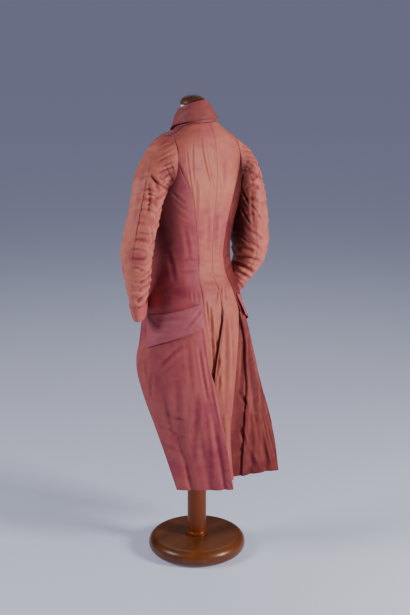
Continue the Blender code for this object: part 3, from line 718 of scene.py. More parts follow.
def arcPoints(centreRadius, centreHeight, radius, startAngle, endAngle, count):
    points = []
    for index in range(count + 1):
        angle = math.radians(mix(startAngle, endAngle, index / count))
        points.append((
            centreRadius + radius * math.cos(angle), centreHeight + radius * math.sin(angle)))
    return points


# The photograph's viewpoint. A drawing unit is 1/410 of its width, 2.8 mm at the coat.
viewSwing = math.radians(46.0)
viewTilt = math.radians(15.03)
viewReach = 3.314
viewHeight = 1.6437
viewSide = 0.0245
lensUnits = 1195.0
frameWide = 410.0
frameTall = 615.0
towardViewer = Vector((math.sin(viewSwing), math.cos(viewSwing), 0.0))
viewRight = Vector((-math.cos(viewSwing), math.sin(viewSwing), 0.0))
viewForward = -towardViewer * math.cos(viewTilt) - Vector((0.0, 0.0, math.sin(viewTilt)))
viewUp = viewRight.cross(viewForward)
viewPlace = towardViewer * viewReach + viewRight * viewSide + Vector((0.0, 0.0, viewHeight))

# How creases and cloth edges are shaped, in metres unless a share.
shellThickness = 0.0011
seamPull = seamGap * 0.62
seamFade = 0.006
foldRange = 0.0030
creaseNarrow = 0.74
creaseGain = 1.75
creaseSteps = 12
creaseShoulder = 0.42
creaseShoulderAt = 2.1
creaseShoulderWide = 0.9
creaseTaper = 0.6
millimetre = 0.001
perMetre = 100.0
facingFrom = 0.05
facingOver = 0.30
hiddenStrength = 0.85
swellDepth = 0.0006
swellScale = 16.0
crumpleScale = 21.0
crumpleStretch = 1.6
fineCrumple = 0.5
fineCrumpleScale = 43.0
fineCrumpleStretch = 1.4
seamHold = 0.15
fineSteps = (0.06, 0.16)
gridTolerance = 0.001
edgeRoll = 0.0003
edgeRollWidth = 0.0022


def placesFrom(points, viewer):
    points = points.copy()
    if viewer == "mirrored":
        points[:, 0] *= -1.0
    if viewer == "front":
        return points[:, 0] * perMetre, points[:, 2] * perMetre
    offset = points - np.array(viewPlace)
    depth = offset @ np.array(viewForward)
    across = offset @ np.array(viewRight)
    up = offset @ np.array(viewUp)
    return frameWide / 2.0 + lensUnits * across / depth, frameTall / 2.0 - lensUnits * up / depth


def facingShare(points, normals, viewer):
    if viewer == "front":
        toward = -normals[:, 1]
    else:
        mirror = np.array((-1.0 if viewer == "mirrored" else 1.0, 1.0, 1.0))
        toward = -((normals * mirror) @ np.array(viewForward))
    share = np.clip((toward + facingFrom) / facingOver, 0.0, 1.0)
    return share * share * (3.0 - 2.0 * share)


# A crease runs from its start to its end, bent toward its middle. Its half width, in
# drawing units, and its depth, in millimetres, are then scaled by creaseNarrow and
# creaseGain. A negative depth is a ridge.
Crease = namedtuple("Crease", "startX startY middleX middleY endX endY halfWidth depth")


def creaseField(points, normals, creases, viewer, shiftX=0.0, shiftY=0.0, strength=1.0):
    field = np.zeros(len(points))
    if not creases:
        return field
    placeX, placeY = placesFrom(points, viewer)
    facing = facingShare(points, normals, viewer)
    for crease in creases:
        best = np.full(len(points), 1e9)
        along = np.zeros(len(points))
        for step in range(creaseSteps):
            ends = []
            for share in (step / creaseSteps, (step + 1) / creaseSteps):
                first = (1.0 - share) ** 2
                second = 2.0 * share * (1.0 - share)
                third = share * share
                ends.append((
                    first * crease.startX + second * crease.middleX + third * crease.endX + shiftX,
                    first * crease.startY + second * crease.middleY + third * crease.endY + shiftY))
            (fromX, fromY), (toX, toY) = ends
            runX = toX - fromX
            runY = toY - fromY
            length = runX * runX + runY * runY
            share = np.clip(((placeX - fromX) * runX + (placeY - fromY) * runY) / length, 0.0, 1.0)
            gap = np.hypot(placeX - fromX - share * runX, placeY - fromY - share * runY)
            nearer = gap < best
            best = np.where(nearer, gap, best)
            along = np.where(nearer, (step + share) / creaseSteps, along)
        reach = best / (crease.halfWidth * creaseNarrow)
        taper = np.clip(4.0 * along * (1.0 - along), 0.0, 1.0) ** creaseTaper
        beside = (reach - creaseShoulderAt) / creaseShoulderWide
        shape = np.exp(-(reach**2)) - creaseShoulder * np.exp(-(beside**2))
        field -= crease.depth * millimetre * creaseGain * shape * taper * facing * strength
    return field


def softNoise(points, scale, seed):
    values = np.zeros(len(points))
    for index, point in enumerate(points):
        values[index] = noise.noise(Vector(point) * scale + Vector((seed, seed * 0.7, -seed)))
    return values


def ridgedNoise(points, scale, stretch, seed):
    values = np.zeros(len(points))
    for index, point in enumerate(points):
        place = Vector((point[0] * scale, point[1] * scale, point[2] * scale * stretch))
        place += Vector((seed, -seed, seed * 0.5))
        values[index] = 1.0 - 2.0 * abs(noise.noise(place))
    return values


def spread(low, high, parts, fineAt):
    values = set()
    for whole in range(low, high):
        for part in range(parts):
            values.add(round(whole + part / parts, 4))
    values.add(float(high))
    for place in fineAt:
        for step in fineSteps:
            for value in (place - step, place + step):
                if low < value < high:
                    values.add(round(value, 4))
    return sorted(values)


def finishPiece(piece, bm, sharpAngle):
    for face in bm.faces:
        face.smooth = True
    mesh = bpy.data.meshes.new(piece["name"])
    bm.to_mesh(mesh)
    bm.free()
    mesh.set_sharp_from_angle(angle=math.radians(sharpAngle))
    mesh.materials.append(piece["material"])
    skin = bpy.data.objects.new(piece["name"], mesh)
    bpy.context.scene.collection.objects.link(skin)
    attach(skin, "root")
    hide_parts(*piece["replaces"])
    return skin


# Painted shade: the silk is coloured darker low under each armhole, where the sleeve shades the
# side.
# On the wearer's right the painted shade is wider and takes in the sleeve's inner side.
UnderarmPatch = namedtuple("UnderarmPatch", "reach inwardFrom inwardOver")
underarmShadePatches = {
    "left": UnderarmPatch(0.135, 0.172, 0.020),
    "right": UnderarmPatch(0.160, 0.186, 0.035),
}
armCentreX = 0.200
armCentreY = 0.012
underarmFade = 0.075
underarmFloor = 0.80
underarmFloorFade = 0.14
underarmTop = 1.215
underarmTopFade = 0.07
underarmDarkest = 0.9


def underarmShadeShare(point):
    patch = underarmShadePatches["left" if point[0] >= 0.0 else "right"]
    away = math.hypot(abs(point[0]) - armCentreX, point[1] - armCentreY)
    near = ease(0.0, underarmFade, patch.reach - away)
    low = (point[2] - underarmFloor) / underarmFloorFade
    high = (underarmTop - point[2]) / underarmTopFade
    inward = (patch.inwardFrom - abs(point[0])) / patch.inwardOver
    share = underarmDarkest * near
    for limit in (low, high, inward):
        share *= min(max(limit, 0.0), 1.0)
    return share


def clothGrid(bm, pointAt, columns, rows, isCloth):
    wide = len(columns) - 1
    tall = len(rows) - 1
    bmesh.ops.create_grid(bm, x_segments=wide, y_segments=tall, size=1.0)
    places = {}
    for vert in bm.verts:
        column = round((vert.co.x + 1.0) / 2.0 * wide)
        row = round((vert.co.y + 1.0) / 2.0 * tall)
        places[vert] = (column, row)
    if isCloth:
        spare = []
        for face in bm.faces:
            column = columns[min(places[vert][0] for vert in face.verts)]
            row = rows[min(places[vert][1] for vert in face.verts)]
            if not isCloth(math.floor(column + gridTolerance), math.floor(row + gridTolerance)):
                spare.append(face)
        bmesh.ops.delete(bm, geom=spare, context="FACES")
        places = {vert: place for vert, place in places.items() if vert.is_valid}
    for vert, (column, row) in places.items():
        vert.co = pointAt(columns[column], rows[row])
    return places


def gapsToEdge(verts):
    edges = [vert.co.copy() for vert in verts if vert.is_boundary]
    tree = kdtree.KDTree(len(edges))
    for index, place in enumerate(edges):
        tree.insert(place, index)
    tree.balance()
    return np.array([tree.find(vert.co)[2] for vert in verts])


def addInnerSide(bm, marker, points, normals):
    grown = bmesh.ops.extrude_face_region(bm, geom=bm.faces[:], use_keep_orig=True)
    for thing in grown["geom"]:
        if isinstance(thing, bmesh.types.BMVert):
            number = thing[marker]
            thing.co = Vector(points[number] - normals[number] * shellThickness)
    bmesh.ops.recalc_face_normals(bm, faces=bm.faces[:])


# Each cloth piece: a grid laid on its surface, creased, and given an inner side.
def clothSkin(piece, pointAt, columns, rows, shapeBy, isCloth=None, flip=False):
    bm = bmesh.new()
    marker = bm.verts.layers.int.new("place")
    places = clothGrid(bm, pointAt, columns, rows, isCloth)
    if flip:
        bmesh.ops.reverse_faces(bm, faces=bm.faces[:])
    bm.normal_update()
    pullEdgesBack(bm, seamPull)
    bm.normal_update()
    ordered = list(places)
    points = np.array([vert.co[:] for vert in ordered])
    normals = np.array([vert.normal[:] for vert in ordered])
    edgeGap = gapsToEdge(ordered)
    hold = np.clip(edgeGap / seamFade, piece.get("seamHold", seamHold), 1.0)
    field = shapeBy(points, normals) * hold
    roll = edgeRoll * np.exp(-((edgeGap / edgeRollWidth) ** 2))
    moved = points + normals * (field - roll)[:, None]
    for number, vert in enumerate(ordered):
        vert.co = moved[number]
        vert[marker] = number
    bm.normal_update()
    addInnerSide(bm, marker, moved, normals)
    uvLayer = bm.loops.layers.uv.new("weave")
    fold = bm.verts.layers.float.new("fold")
    edge = bm.verts.layers.float.new("edge")
    underarmShade = bm.verts.layers.float.new("underarmShade")
    keys = [places[vert] for vert in ordered]
    for vert in bm.verts:
        number = vert[marker]
        vert[fold] = max(min(field[number] / foldRange, 1.0), -1.0) * 0.5 + 0.5
        vert[edge] = edgeGap[number]
        # the underarm share, where painted shade darkens the silk under the arms
        vert[underarmShade] = underarmShadeShare(vert.co)
    for face in bm.faces:
        for loop in face.loops:
            column, row = keys[loop.vert[marker]]
            loop[uvLayer].uv = (
                columns[column] * piece["columnSize"], rows[row] * piece["rowSize"])
    skin = finishPiece(piece, bm, 60.0)
    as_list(piece["restsOn"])
    print(piece["name"], "made with", len(skin.data.polygons), "faces")


# Creases as they lie in the photograph's view, in drawing units.
sleeveLeftCreases = table(Crease, (
    (151, 172, 155, 181, 159, 192, 2.4, 2.4),
    (141, 191, 149, 187, 158, 194, 1.7, 2.0),
    (143, 196, 150, 191, 159, 199, 1.1, 1.5),
    (138, 201, 148, 196, 158, 206, 1.8, 2.1),
    (146, 206, 152, 200, 159, 209, 1.0, 1.3),
    (137, 212, 147, 206, 157, 215, 1.7, 1.9),
    (149, 184, 151, 199, 147, 216, 2.0, 1.7),
    (142, 178, 147, 174, 152, 178, 1.8, 1.4),
    (136, 224, 143, 221, 151, 227, 2.0, 1.3),
    (133, 241, 140, 238, 149, 243, 1.9, 2.1),
    (131, 250, 138, 247, 147, 253, 1.7, 1.6),
    (132, 258, 138, 262, 146, 257, 1.9, 1.9),
    (131, 269, 137, 266, 144, 272, 1.8, 1.5),
    (133, 281, 138, 285, 144, 280, 1.7, 1.2),
    (133, 292, 138, 289, 143, 293, 1.5, 0.9),
    (153, 155, 141, 207, 132, 263, 0.9, 1.3),
    (146, 160, 138, 200, 133, 232, 3.0, 0.9),
    (159, 146, 164, 142, 170, 139, 1.0, 1.1),
    (158, 152, 164, 147, 173, 143, 1.1, 1.4),
    (160, 157, 167, 152, 174, 148, 1.0, 1.2),
    (157, 163, 165, 157, 175, 154, 1.2, 1.5),
    (161, 168, 168, 163, 175, 160, 1.0, 1.2),
    (158, 173, 166, 168, 176, 166, 1.2, 1.6),
    (161, 179, 168, 174, 176, 172, 1.0, 1.2),
    (159, 184, 167, 180, 176, 179, 1.2, 1.4),
    (163, 189, 170, 186, 177, 185, 1.0, 1.0),
    (150, 174, 158, 186, 172, 192, 1.5, 2.6),
    (176, 190, 171, 176, 164, 163, 1.1, 1.7),
    (176, 188, 174, 172, 169, 157, 1.0, 1.4),
    (174, 191, 164, 182, 156, 174, 1.1, 1.6),
    (150, 226, 154, 240, 152, 262, 1.3, 1.6),
    (147, 268, 150, 280, 147, 294, 1.2, 1.5),
    (139, 232, 147, 236, 156, 232, 1.2, 1.4),
))
sleeveRightCreases = table(Crease, (
    (246, 174, 252, 171, 259, 178, 2.0, 2.6),
    (246, 186, 252, 183, 260, 190, 1.9, 1.8),
    (243, 199, 251, 196, 259, 203, 2.0, 1.8),
    (243, 215, 252, 211, 261, 218, 2.0, 1.6),
    (245, 229, 254, 232, 262, 240, 2.0, 2.0),
    (247, 241, 254, 244, 262, 251, 1.9, 1.8),
    (236, 247, 245, 247, 254, 252, 2.0, 1.8),
    (231, 260, 243, 264, 254, 274, 2.4, 3.8),
    (236, 255, 248, 257, 262, 262, 2.1, 2.6),
    (236, 270, 245, 276, 255, 281, 2.0, 2.0),
    (234, 279, 240, 286, 247, 289, 2.0, 1.6),
    (252, 188, 251, 212, 255, 236, 1.9, 1.2),
    (249, 150, 255, 157, 258, 168, 2.0, 1.2),
    (244, 160, 250, 164, 257, 172, 1.6, 1.2),
    (240, 184, 244, 196, 250, 206, 1.2, 1.8),
    (240, 206, 246, 218, 252, 226, 1.2, 1.8),
    (238, 232, 244, 240, 250, 244, 1.1, 1.6),
    (250, 204, 256, 210, 262, 222, 1.2, 1.5),
))
bodyCreases = table(Crease, (
    (201, 136, 203, 160, 211, 186, 1.1, 1.3),
    (206, 140, 208, 166, 216, 196, 0.9, 0.8),
    (193, 143, 192, 164, 195, 190, 1.1, 0.9),
    (187, 150, 188, 172, 193, 196, 0.9, 0.8),
    (196, 178, 198, 200, 196, 222, 2.0, 1.2),
    (214, 143, 216, 168, 222, 194, 1.3, 0.9),
    (226, 158, 224, 176, 226, 194, 2.0, 0.8),
    (206, 196, 209, 222, 208, 248, 2.4, 0.9),
    (216, 204, 217, 228, 215, 250, 2.2, 0.8),
    (171, 192, 178, 198, 186, 204, 1.7, 1.8),
    (173, 200, 181, 207, 190, 212, 1.6, 1.3),
    (175, 210, 182, 216, 190, 220, 1.6, 0.9),
    (241, 163, 237, 184, 232, 206, 1.9, 1.3),
    (203, 263, 212, 259, 223, 262, 2.1, 0.9),
    (204, 273, 213, 277, 225, 274, 2.0, 0.9),
    (202, 283, 210, 281, 219, 284, 1.8, 0.8),
    (218, 286, 218, 294, 216, 303, 1.0, 1.3),
    (221, 285, 221.5, 294, 221, 304, 1.0, 1.5),
    (224, 286, 225, 293, 227, 302, 1.0, 1.2),
    (228, 287, 229, 293, 231, 300, 1.0, 0.9),
    (189, 290, 188, 296, 190, 303, 1.1, 0.4),
    (193, 289, 193, 296, 194, 303, 1.0, 0.5),
    (197, 290, 198, 296, 199, 303, 1.0, 0.5),
    (182, 262, 190, 258, 199, 262, 2.0, 1.1),
    (180, 273, 189, 270, 200, 274, 2.2, 0.9),
    (166, 248, 172, 262, 175, 282, 2.8, 1.0),
    (184, 226, 188, 244, 190, 260, 2.6, 0.9),
))
skirtCreases = table(Crease, (
    (161, 367, 171, 355, 183, 346, 2.2, 1.8),
    (165, 373, 173, 364, 184, 357, 1.8, 1.0),
    (152, 371, 150, 385, 151, 399, 1.9, 1.5),
    (146, 362, 147, 375, 149, 388, 2.0, 1.0),
    (157, 424, 171, 432, 188, 438, 1.4, 1.3),
    (164, 431, 175, 436, 186, 440, 1.0, 0.9),
    (167, 415, 176, 419, 187, 421, 2.0, 1.1),
    (158, 440, 168, 447, 180, 452, 2.0, 0.9),
    (198, 392, 195, 430, 192, 466, 3.4, 1.1),
    (176, 380, 177, 412, 182, 444, 4.4, 1.1),
    (206, 412, 209, 446, 212, 480, 2.8, 0.9),
    (187, 340, 190, 366, 192, 394, 2.8, 0.9),
    (166, 396, 169, 420, 175, 452, 3.6, 1.2),
    (199, 345, 202, 372, 208, 402, 1.7, 1.6),
    (186, 450, 189, 470, 190, 488, 2.6, 0.6),
    (203, 322, 208, 362, 222, 432, 1.6, -1.8),
    (224, 478, 229, 483, 233, 489, 1.2, 1.0),
))
backSkirtCreases = table(Crease, (
    (210, 306, 213, 338, 214, 366, 1.6, 3.0),
    (206, 300, 208, 318, 211, 340, 1.2, 1.8),
    (216, 352, 221, 362, 213, 382, 1.7, 2.6),
    (217, 372, 221, 380, 218, 392, 1.6, 1.6),
    (226, 316, 228, 358, 226, 404, 2.6, 1.7),
    (231, 310, 233, 340, 234, 372, 2.0, 1.2),
    (222, 414, 225, 444, 222, 474, 2.6, 1.6),
    (220, 407.5, 229, 407, 238, 407.5, 0.8, 0.9),
    (213, 322, 218, 350, 220, 372, 1.6, 1.5),
    (221, 298, 223, 313, 220, 334, 1.0, 1.4),
))
rightSkirtCreases = table(Crease, (
    (239, 390, 244, 399, 249, 411, 1.9, 2.8),
    (240, 402, 245, 408, 249, 414, 1.5, 1.8),
    (239, 424, 243, 434, 246, 446, 1.8, 2.4),
    (238, 447, 242, 450, 247, 455, 1.6, 1.8),
    (249, 346, 253, 390, 261, 444, 2.6, 2.0),
    (243, 340, 243, 372, 241, 396, 2.0, 2.2),
    (256, 378, 265, 412, 277, 464, 0.9, 1.1),
    (252, 372, 261, 410, 273, 464, 1.0, 0.8),
    (248, 328, 254, 356, 258, 384, 1.6, -1.5),
    (246, 446, 252, 459, 258, 470, 2.4, 1.4),
    (262, 440, 266, 454, 270, 466, 2.0, 1.2),
    (242, 300, 246, 312, 249, 326, 1.6, 1.4),
))
collarCreases = table(Crease, (
    (182, 122, 189, 117, 197, 111, 1.7, 1.2),
    (189, 120, 194, 115, 199, 111, 1.4, 0.9),
    (205, 119, 209, 112, 211, 104, 1.8, 1.0),
    (178, 116, 182, 110, 189, 106, 1.8, 0.8),
    (199, 121, 203, 116, 205, 110, 1.5, 0.7),
))
flapCreases = table(Crease, (
    (158, 318, 172, 322, 186, 317, 2.6, 0.8),
    (184, 330, 193, 322, 201, 310, 2.0, 0.9),
    (150, 330, 160, 334, 172, 333, 2.2, 0.6),
))
# The chest's own creases, in centimetres across and up, as seen from the front.
chestCreases = table(Crease, (
    (12.5, 114, 10.0, 111, 7.5, 109.5, 0.8, 2.0),
    (13.0, 110, 10.5, 107, 8.0, 106, 0.8, 1.6),
    (12.0, 118, 11.0, 114, 10.5, 110, 0.8, 1.4),
    (10.0, 92.5, 7.5, 91.0, 4.5, 91.5, 0.9, 1.5),
    (10.5, 88.0, 8.0, 89.5, 5.5, 89.0, 0.8, 1.1),
    (6.5, 122, 6.0, 114, 7.0, 106, 1.1, 1.1),
    (14.5, 72, 13.5, 60, 12.0, 46, 1.5, 2.0),
    (-12.5, 113, -10.4, 110.5, -7.8, 109, 0.8, 1.8),
    (-13.0, 109, -10.8, 106, -8.4, 105, 0.8, 1.5),
    (-11.8, 119, -11.2, 115, -10.8, 111, 0.8, 1.3),
    (-10.2, 93.5, -7.6, 92.2, -4.8, 93, 0.9, 1.4),
    (-10.6, 89.0, -8.2, 90.6, -5.6, 90.0, 0.8, 1.2),
    (-6.2, 121, -5.8, 113, -6.6, 105, 1.1, 1.1),
    (-14.0, 70, -14.6, 58, -15.5, 45, 1.5, 1.8),
))


def shaped(seen, hidden=(), shiftX=0.0, shiftY=0.0, front=(), crumple=0.0007, seed=1.0):
    def shapeBy(points, normals):
        field = creaseField(points, normals, seen, "photo")
        field += creaseField(points, normals, hidden, "mirrored", shiftX, shiftY, hiddenStrength)
        field += creaseField(points, normals, front, "front")
        field += swellDepth * softNoise(points, swellScale, seed)
        field += crumple * ridgedNoise(points, crumpleScale, crumpleStretch, seed)
        field += fineCrumple * crumple * ridgedNoise(
            points, fineCrumpleScale, fineCrumpleStretch, seed + 4.0)
        return field
    return shapeBy


# Materials
def setValues(node, values):
    for socket, value in values.items():
        node.inputs[socket].default_value = value


def addNode(tree, kind, feeds=None, values=None, **settings):
    node = tree.nodes.new(kind)
    for key, value in settings.items():
        setattr(node, key, value)
    setValues(node, values or {})
    for socket, source in (feeds or {}).items():
        tree.links.new(source, node.inputs[socket])
    return node


def scaled(tree, source, scale, shift=(0.0, 0.0, 0.0)):
    values = {"Scale": scale, "Location": shift}
    return addNode(tree, "ShaderNodeMapping", {"Vector": source}, values).outputs["Vector"]


def noiseFrom(tree, source, scale, detail, values=None, **settings):
    values = {"Scale": scale, "Detail": detail, **(values or {})}
    return addNode(
        tree, "ShaderNodeTexNoise", {"Vector": source}, values, **settings).outputs["Fac"]


def rangeOf(tree, source, low, high, top=1.0):
    values = {"From Min": low, "From Max": high, "To Max": top}
    return addNode(tree, "ShaderNodeMapRange", {"Value": source}, values).outputs["Result"]


def bumpFrom(tree, source, strength, distance, under=None):
    feeds = {"Height": source}
    if under:
        feeds["Normal"] = under
    values = {"Strength": strength, "Distance": distance}
    return addNode(tree, "ShaderNodeBump", feeds, values).outputs["Normal"]


def attributeOf(tree, name):
    return addNode(tree, "ShaderNodeAttribute", attribute_name=name).outputs["Fac"]


def objectPlace(tree):
    return addNode(tree, "ShaderNodeTexCoord").outputs["Object"]


def mixColours(tree, factor, first, second, blend="MIX"):
    node = addNode(tree, "ShaderNodeMix", data_type="RGBA", blend_type=blend)
    for socket, thing in ((0, factor), (6, first), (7, second)):
        if hasattr(thing, "is_output"):
            tree.links.new(thing, node.inputs[socket])
        else:
            node.inputs[socket].default_value = thing
    return node.outputs[2]


def newMaterial(name):
    material = bpy.data.materials.new(name)
    material.use_nodes = True
    return material, material.node_tree.nodes["Principled BSDF"]


def setSurface(tree, shader, colour, normal, values):
    tree.links.new(colour, shader.inputs["Base Color"])
    tree.links.new(normal, shader.inputs["Normal"])
    setValues(shader, values)


# The taffeta's fine threads both ways, and the thicker ones among them
def makeWeaveGroup():
    group = bpy.data.node_groups.new("taffetaWeave", "ShaderNodeTree")
    group.interface.new_socket("Vector", in_out="INPUT", socket_type="NodeSocketVector")
    for label in ("Ribs", "Slubs"):
        group.interface.new_socket(label, in_out="OUTPUT", socket_type="NodeSocketFloat")
    place = group.nodes.new("NodeGroupInput").outputs["Vector"]
    leave = group.nodes.new("NodeGroupOutput")
    weft = noiseFrom(group, scaled(group, place, (7.0, 900.0, 1.0)), 1.0, 3.0)
    warp = noiseFrom(group, scaled(group, place, (700.0, 9.0, 1.0)), 1.0, 2.0)
    slubs = noiseFrom(group, scaled(group, place, (9.0, 84.0, 1.0), (3.1, 1.7, 0.0)), 1.0, 2.0)
    ribs = addNode(group, "ShaderNodeMath", {0: weft, 1: warp}, operation="ADD")
    group.links.new(ribs.outputs[0], leave.inputs["Ribs"])
    group.links.new(rangeOf(group, slubs, 0.50, 0.72), leave.inputs["Slubs"])
    return group


weaveGroup = makeWeaveGroup()


# Shot silk: broad patches, worn streaks and mottling, painted highlight on crease ridges, painted
# shade in crease troughs and under the arms, darker seam lines, and darker skirts below the waist
# where skirtShare is set
def makeTaffeta(name, pale, middle, deep, wearAndHighlight, skirtShare=0.0):
    material, shader = newMaterial(name)
    tree = material.node_tree
    place = objectPlace(tree)
    uv = addNode(tree, "ShaderNodeUVMap", uv_map="weave").outputs["UV"]
    weave = addNode(tree, "ShaderNodeGroup", node_tree=weaveGroup)
    tree.links.new(uv, weave.inputs["Vector"])
    broad = noiseFrom(tree, place, 5.2, 3.0)
    colour = mixColours(tree, rangeOf(tree, broad, 0.36, 0.66), middle, pale)
    streaks = noiseFrom(tree, scaled(tree, uv, (38.0, 2.2, 1.0)), 1.0, 4.0)
    colour = mixColours(tree, rangeOf(tree, streaks, 0.46, 0.70, 0.18), colour, wearAndHighlight)
    # painted highlight on crease ridges, mixed toward the pale wear colour, and painted shade in
    # crease troughs, mixed toward the deep colour
    fold = attributeOf(tree, "fold")
    colour = mixColours(tree, rangeOf(tree, fold, 0.53, 0.85, 0.55), colour, wearAndHighlight)
    colour = mixColours(tree, rangeOf(tree, fold, 0.46, 0.0, 0.58), colour, deep)
    mottle = noiseFrom(tree, place, 26.0, 5.0, {"Roughness": 0.65})
    colour = mixColours(tree, rangeOf(tree, mottle, 0.40, 0.66, 0.24), colour, wearAndHighlight)
    slubs = addNode(
        tree, "ShaderNodeMath", {0: weave.outputs["Slubs"]}, {1: 0.55}, operation="MULTIPLY")
    colour = mixColours(tree, slubs.outputs[0], colour, pale)
    height = addNode(tree, "ShaderNodeSeparateXYZ", {0: place}).outputs["Z"]
    skirt = rangeOf(tree, height, 0.86, 0.62, skirtShare)
    colour = mixColours(tree, skirt, colour, middle, "MULTIPLY")
    # painted shade under the arms: the underarm share mixes the silk toward the deep colour
    colour = mixColours(tree, attributeOf(tree, "underarmShade"), colour, deep)
    seam = rangeOf(tree, attributeOf(tree, "edge"), 0.0016, 0.0, 0.10)
    colour = mixColours(tree, seam, colour, deep)
    ribbed = bumpFrom(tree, weave.outputs["Ribs"], 0.65, 0.0004)
    crumple = noiseFrom(tree, place, 24.0, 4.0, noise_type="RIDGED_MULTIFRACTAL")
    crumpled = bumpFrom(tree, crumple, 0.8, 0.0022, ribbed)
    setSurface(tree, shader, colour, crumpled, {
        "Roughness": 0.52,
        "Specular IOR Level": 0.18,
        "Sheen Weight": 0.05,
        "Sheen Roughness": 0.35,
        "Sheen Tint": (1.0, 0.42, 0.30, 1.0),
    })
    return material


def makeWood(name, pale, deep, roughness, grainScale):
    material, shader = newMaterial(name)
    tree = material.node_tree
    place = scaled(tree, objectPlace(tree), grainScale)
    grain = noiseFrom(tree, place, 6.0, 6.0, {"Distortion": 0.6})
    colour = mixColours(tree, rangeOf(tree, grain, 0.34, 0.68), deep, pale)
    setSurface(tree, shader, colour, bumpFrom(tree, grain, 0.08, 0.0005), {
        "Roughness": roughness,
        "Specular IOR Level": 0.30,
        "Coat Weight": 0.12,
        "Coat Roughness": 0.22,
    })
    return material


def makeFormCloth():
    material, shader = newMaterial("padded_linen")
    tree = material.node_tree
    weave = noiseFrom(tree, objectPlace(tree), 420.0, 2.0)
    colour = mixColours(tree, weave, (0.80, 0.78, 0.72, 1.0), (0.66, 0.63, 0.56, 1.0))
    setSurface(tree, shader, colour, bumpFrom(tree, weave, 0.3, 0.0005), {"Roughness": 0.9})
    return material


backSilk = makeTaffeta(
    "back_taffeta", pale=(0.47, 0.125, 0.094, 1.0), middle=(0.37, 0.064, 0.076, 1.0),
    deep=(0.10, 0.010, 0.014, 1.0), wearAndHighlight=(0.60, 0.225, 0.125, 1.0), skirtShare=0.22)
# painted shade: the side panels take a darker, more purple copy of the back's taffeta, for panels
# turned from the light
sideSilk = makeTaffeta(
    "side_taffeta", pale=(0.38, 0.070, 0.080, 1.0), middle=(0.27, 0.031, 0.062, 1.0),
    deep=(0.055, 0.004, 0.008, 1.0), wearAndHighlight=(0.47, 0.135, 0.102, 1.0))
# painted shade: a much darker copy of the side taffeta for the wearer's right front, which lies in
# shadow
paintedShadeSilk = makeTaffeta(
    "painted_shade_taffeta", pale=(0.19, 0.026, 0.028, 1.0), middle=(0.125, 0.010, 0.017, 1.0),
    deep=(0.040, 0.003, 0.005, 1.0), wearAndHighlight=(0.34, 0.086, 0.058, 1.0))
sleeveSilk = makeTaffeta(
    "sleeve_taffeta", pale=(0.50, 0.108, 0.104, 1.0), middle=(0.36, 0.050, 0.074, 1.0),
    deep=(0.060, 0.005, 0.008, 1.0), wearAndHighlight=(0.60, 0.215, 0.120, 1.0))
flapSilk = makeTaffeta(
    "flap_taffeta", pale=(0.42, 0.104, 0.130, 1.0), middle=(0.33, 0.062, 0.098, 1.0),
    deep=(0.06, 0.007, 0.012, 1.0), wearAndHighlight=(0.49, 0.150, 0.130, 1.0))
collarSilk = makeTaffeta(
    "collar_taffeta", pale=(0.29, 0.064, 0.068, 1.0), middle=(0.22, 0.040, 0.054, 1.0),
    deep=(0.055, 0.005, 0.008, 1.0), wearAndHighlight=(0.37, 0.110, 0.078, 1.0))
linen = makeFormCloth()
print("materials made")


def frontIsCloth(column, row):
    if column < 0:
        return row < pleatTopRow
    if row < armholeRow:
        return True
    if column < sideColumns:
        return row < seamTopRow
    return column >= sideColumns + floorColumns


panelRows = spread(0, neckRow, 7, (0, neckRow, armholeRow, seamTopRow, shoulderRow))
backColumnList = spread(0, backColumns, 9, (0, backColumns))
frontColumnList = spread(
    -pleatColumns, frontColumns, 6,
    (-pleatColumns, frontColumns, 0, sideColumns, sideColumns + floorColumns))

# The back panels, from nape to hem
for side in ("left", "right"):
    back = {
        "name": "coat_back_" + side,
        "columnSize": 0.020,
        "rowSize": 0.040,
        "material": backSilk,
        "replaces": ["back_" + side],
        "slot": "rose_taffeta",
        "flat": (0.14, 1.08),
        "area": 0.090,
        "held": "stretched",
        "restsOn": ["form_torso"],
    }
    clothSkin(
        back, lambda column, row: backPoint(side, column, row), backColumnList, panelRows,
        shapeBy=shaped(bodyCreases + backSkirtCreases, seed=3.0), flip=side == "left")

# The fronts with their side skirts and the under layer of each hip pleat
frontCreases = {
    "left": (bodyCreases + skirtCreases, ()),
    "right": (bodyCreases + rightSkirtCreases, bodyCreases + skirtCreases),
}
# The wearer's right front is coloured with the darker painted-shade taffeta.
for side in ("left", "right"):
    seen, hidden = frontCreases[side]
    front = {
        "name": "coat_front_" + side,
        "columnSize": 0.026,
        "rowSize": 0.040,
        "material": {"left": sideSilk, "right": paintedShadeSilk}[side],
        "replaces": ["front_" + side],
        "slot": "rose_taffeta",
        "flat": (0.42, 1.06),
        "area": 0.27,
        "held": "hung",
        "restsOn": ["form_torso"],
    }
    clothSkin(
        front, lambda column, row: frontPoint(side, column, row), frontColumnList, panelRows,
        shapeBy=shaped(seen, hidden, 1.5, 4.0, chestCreases, seed=5.0),
        isCloth=frontIsCloth, flip=side == "left")
print("body panels made")

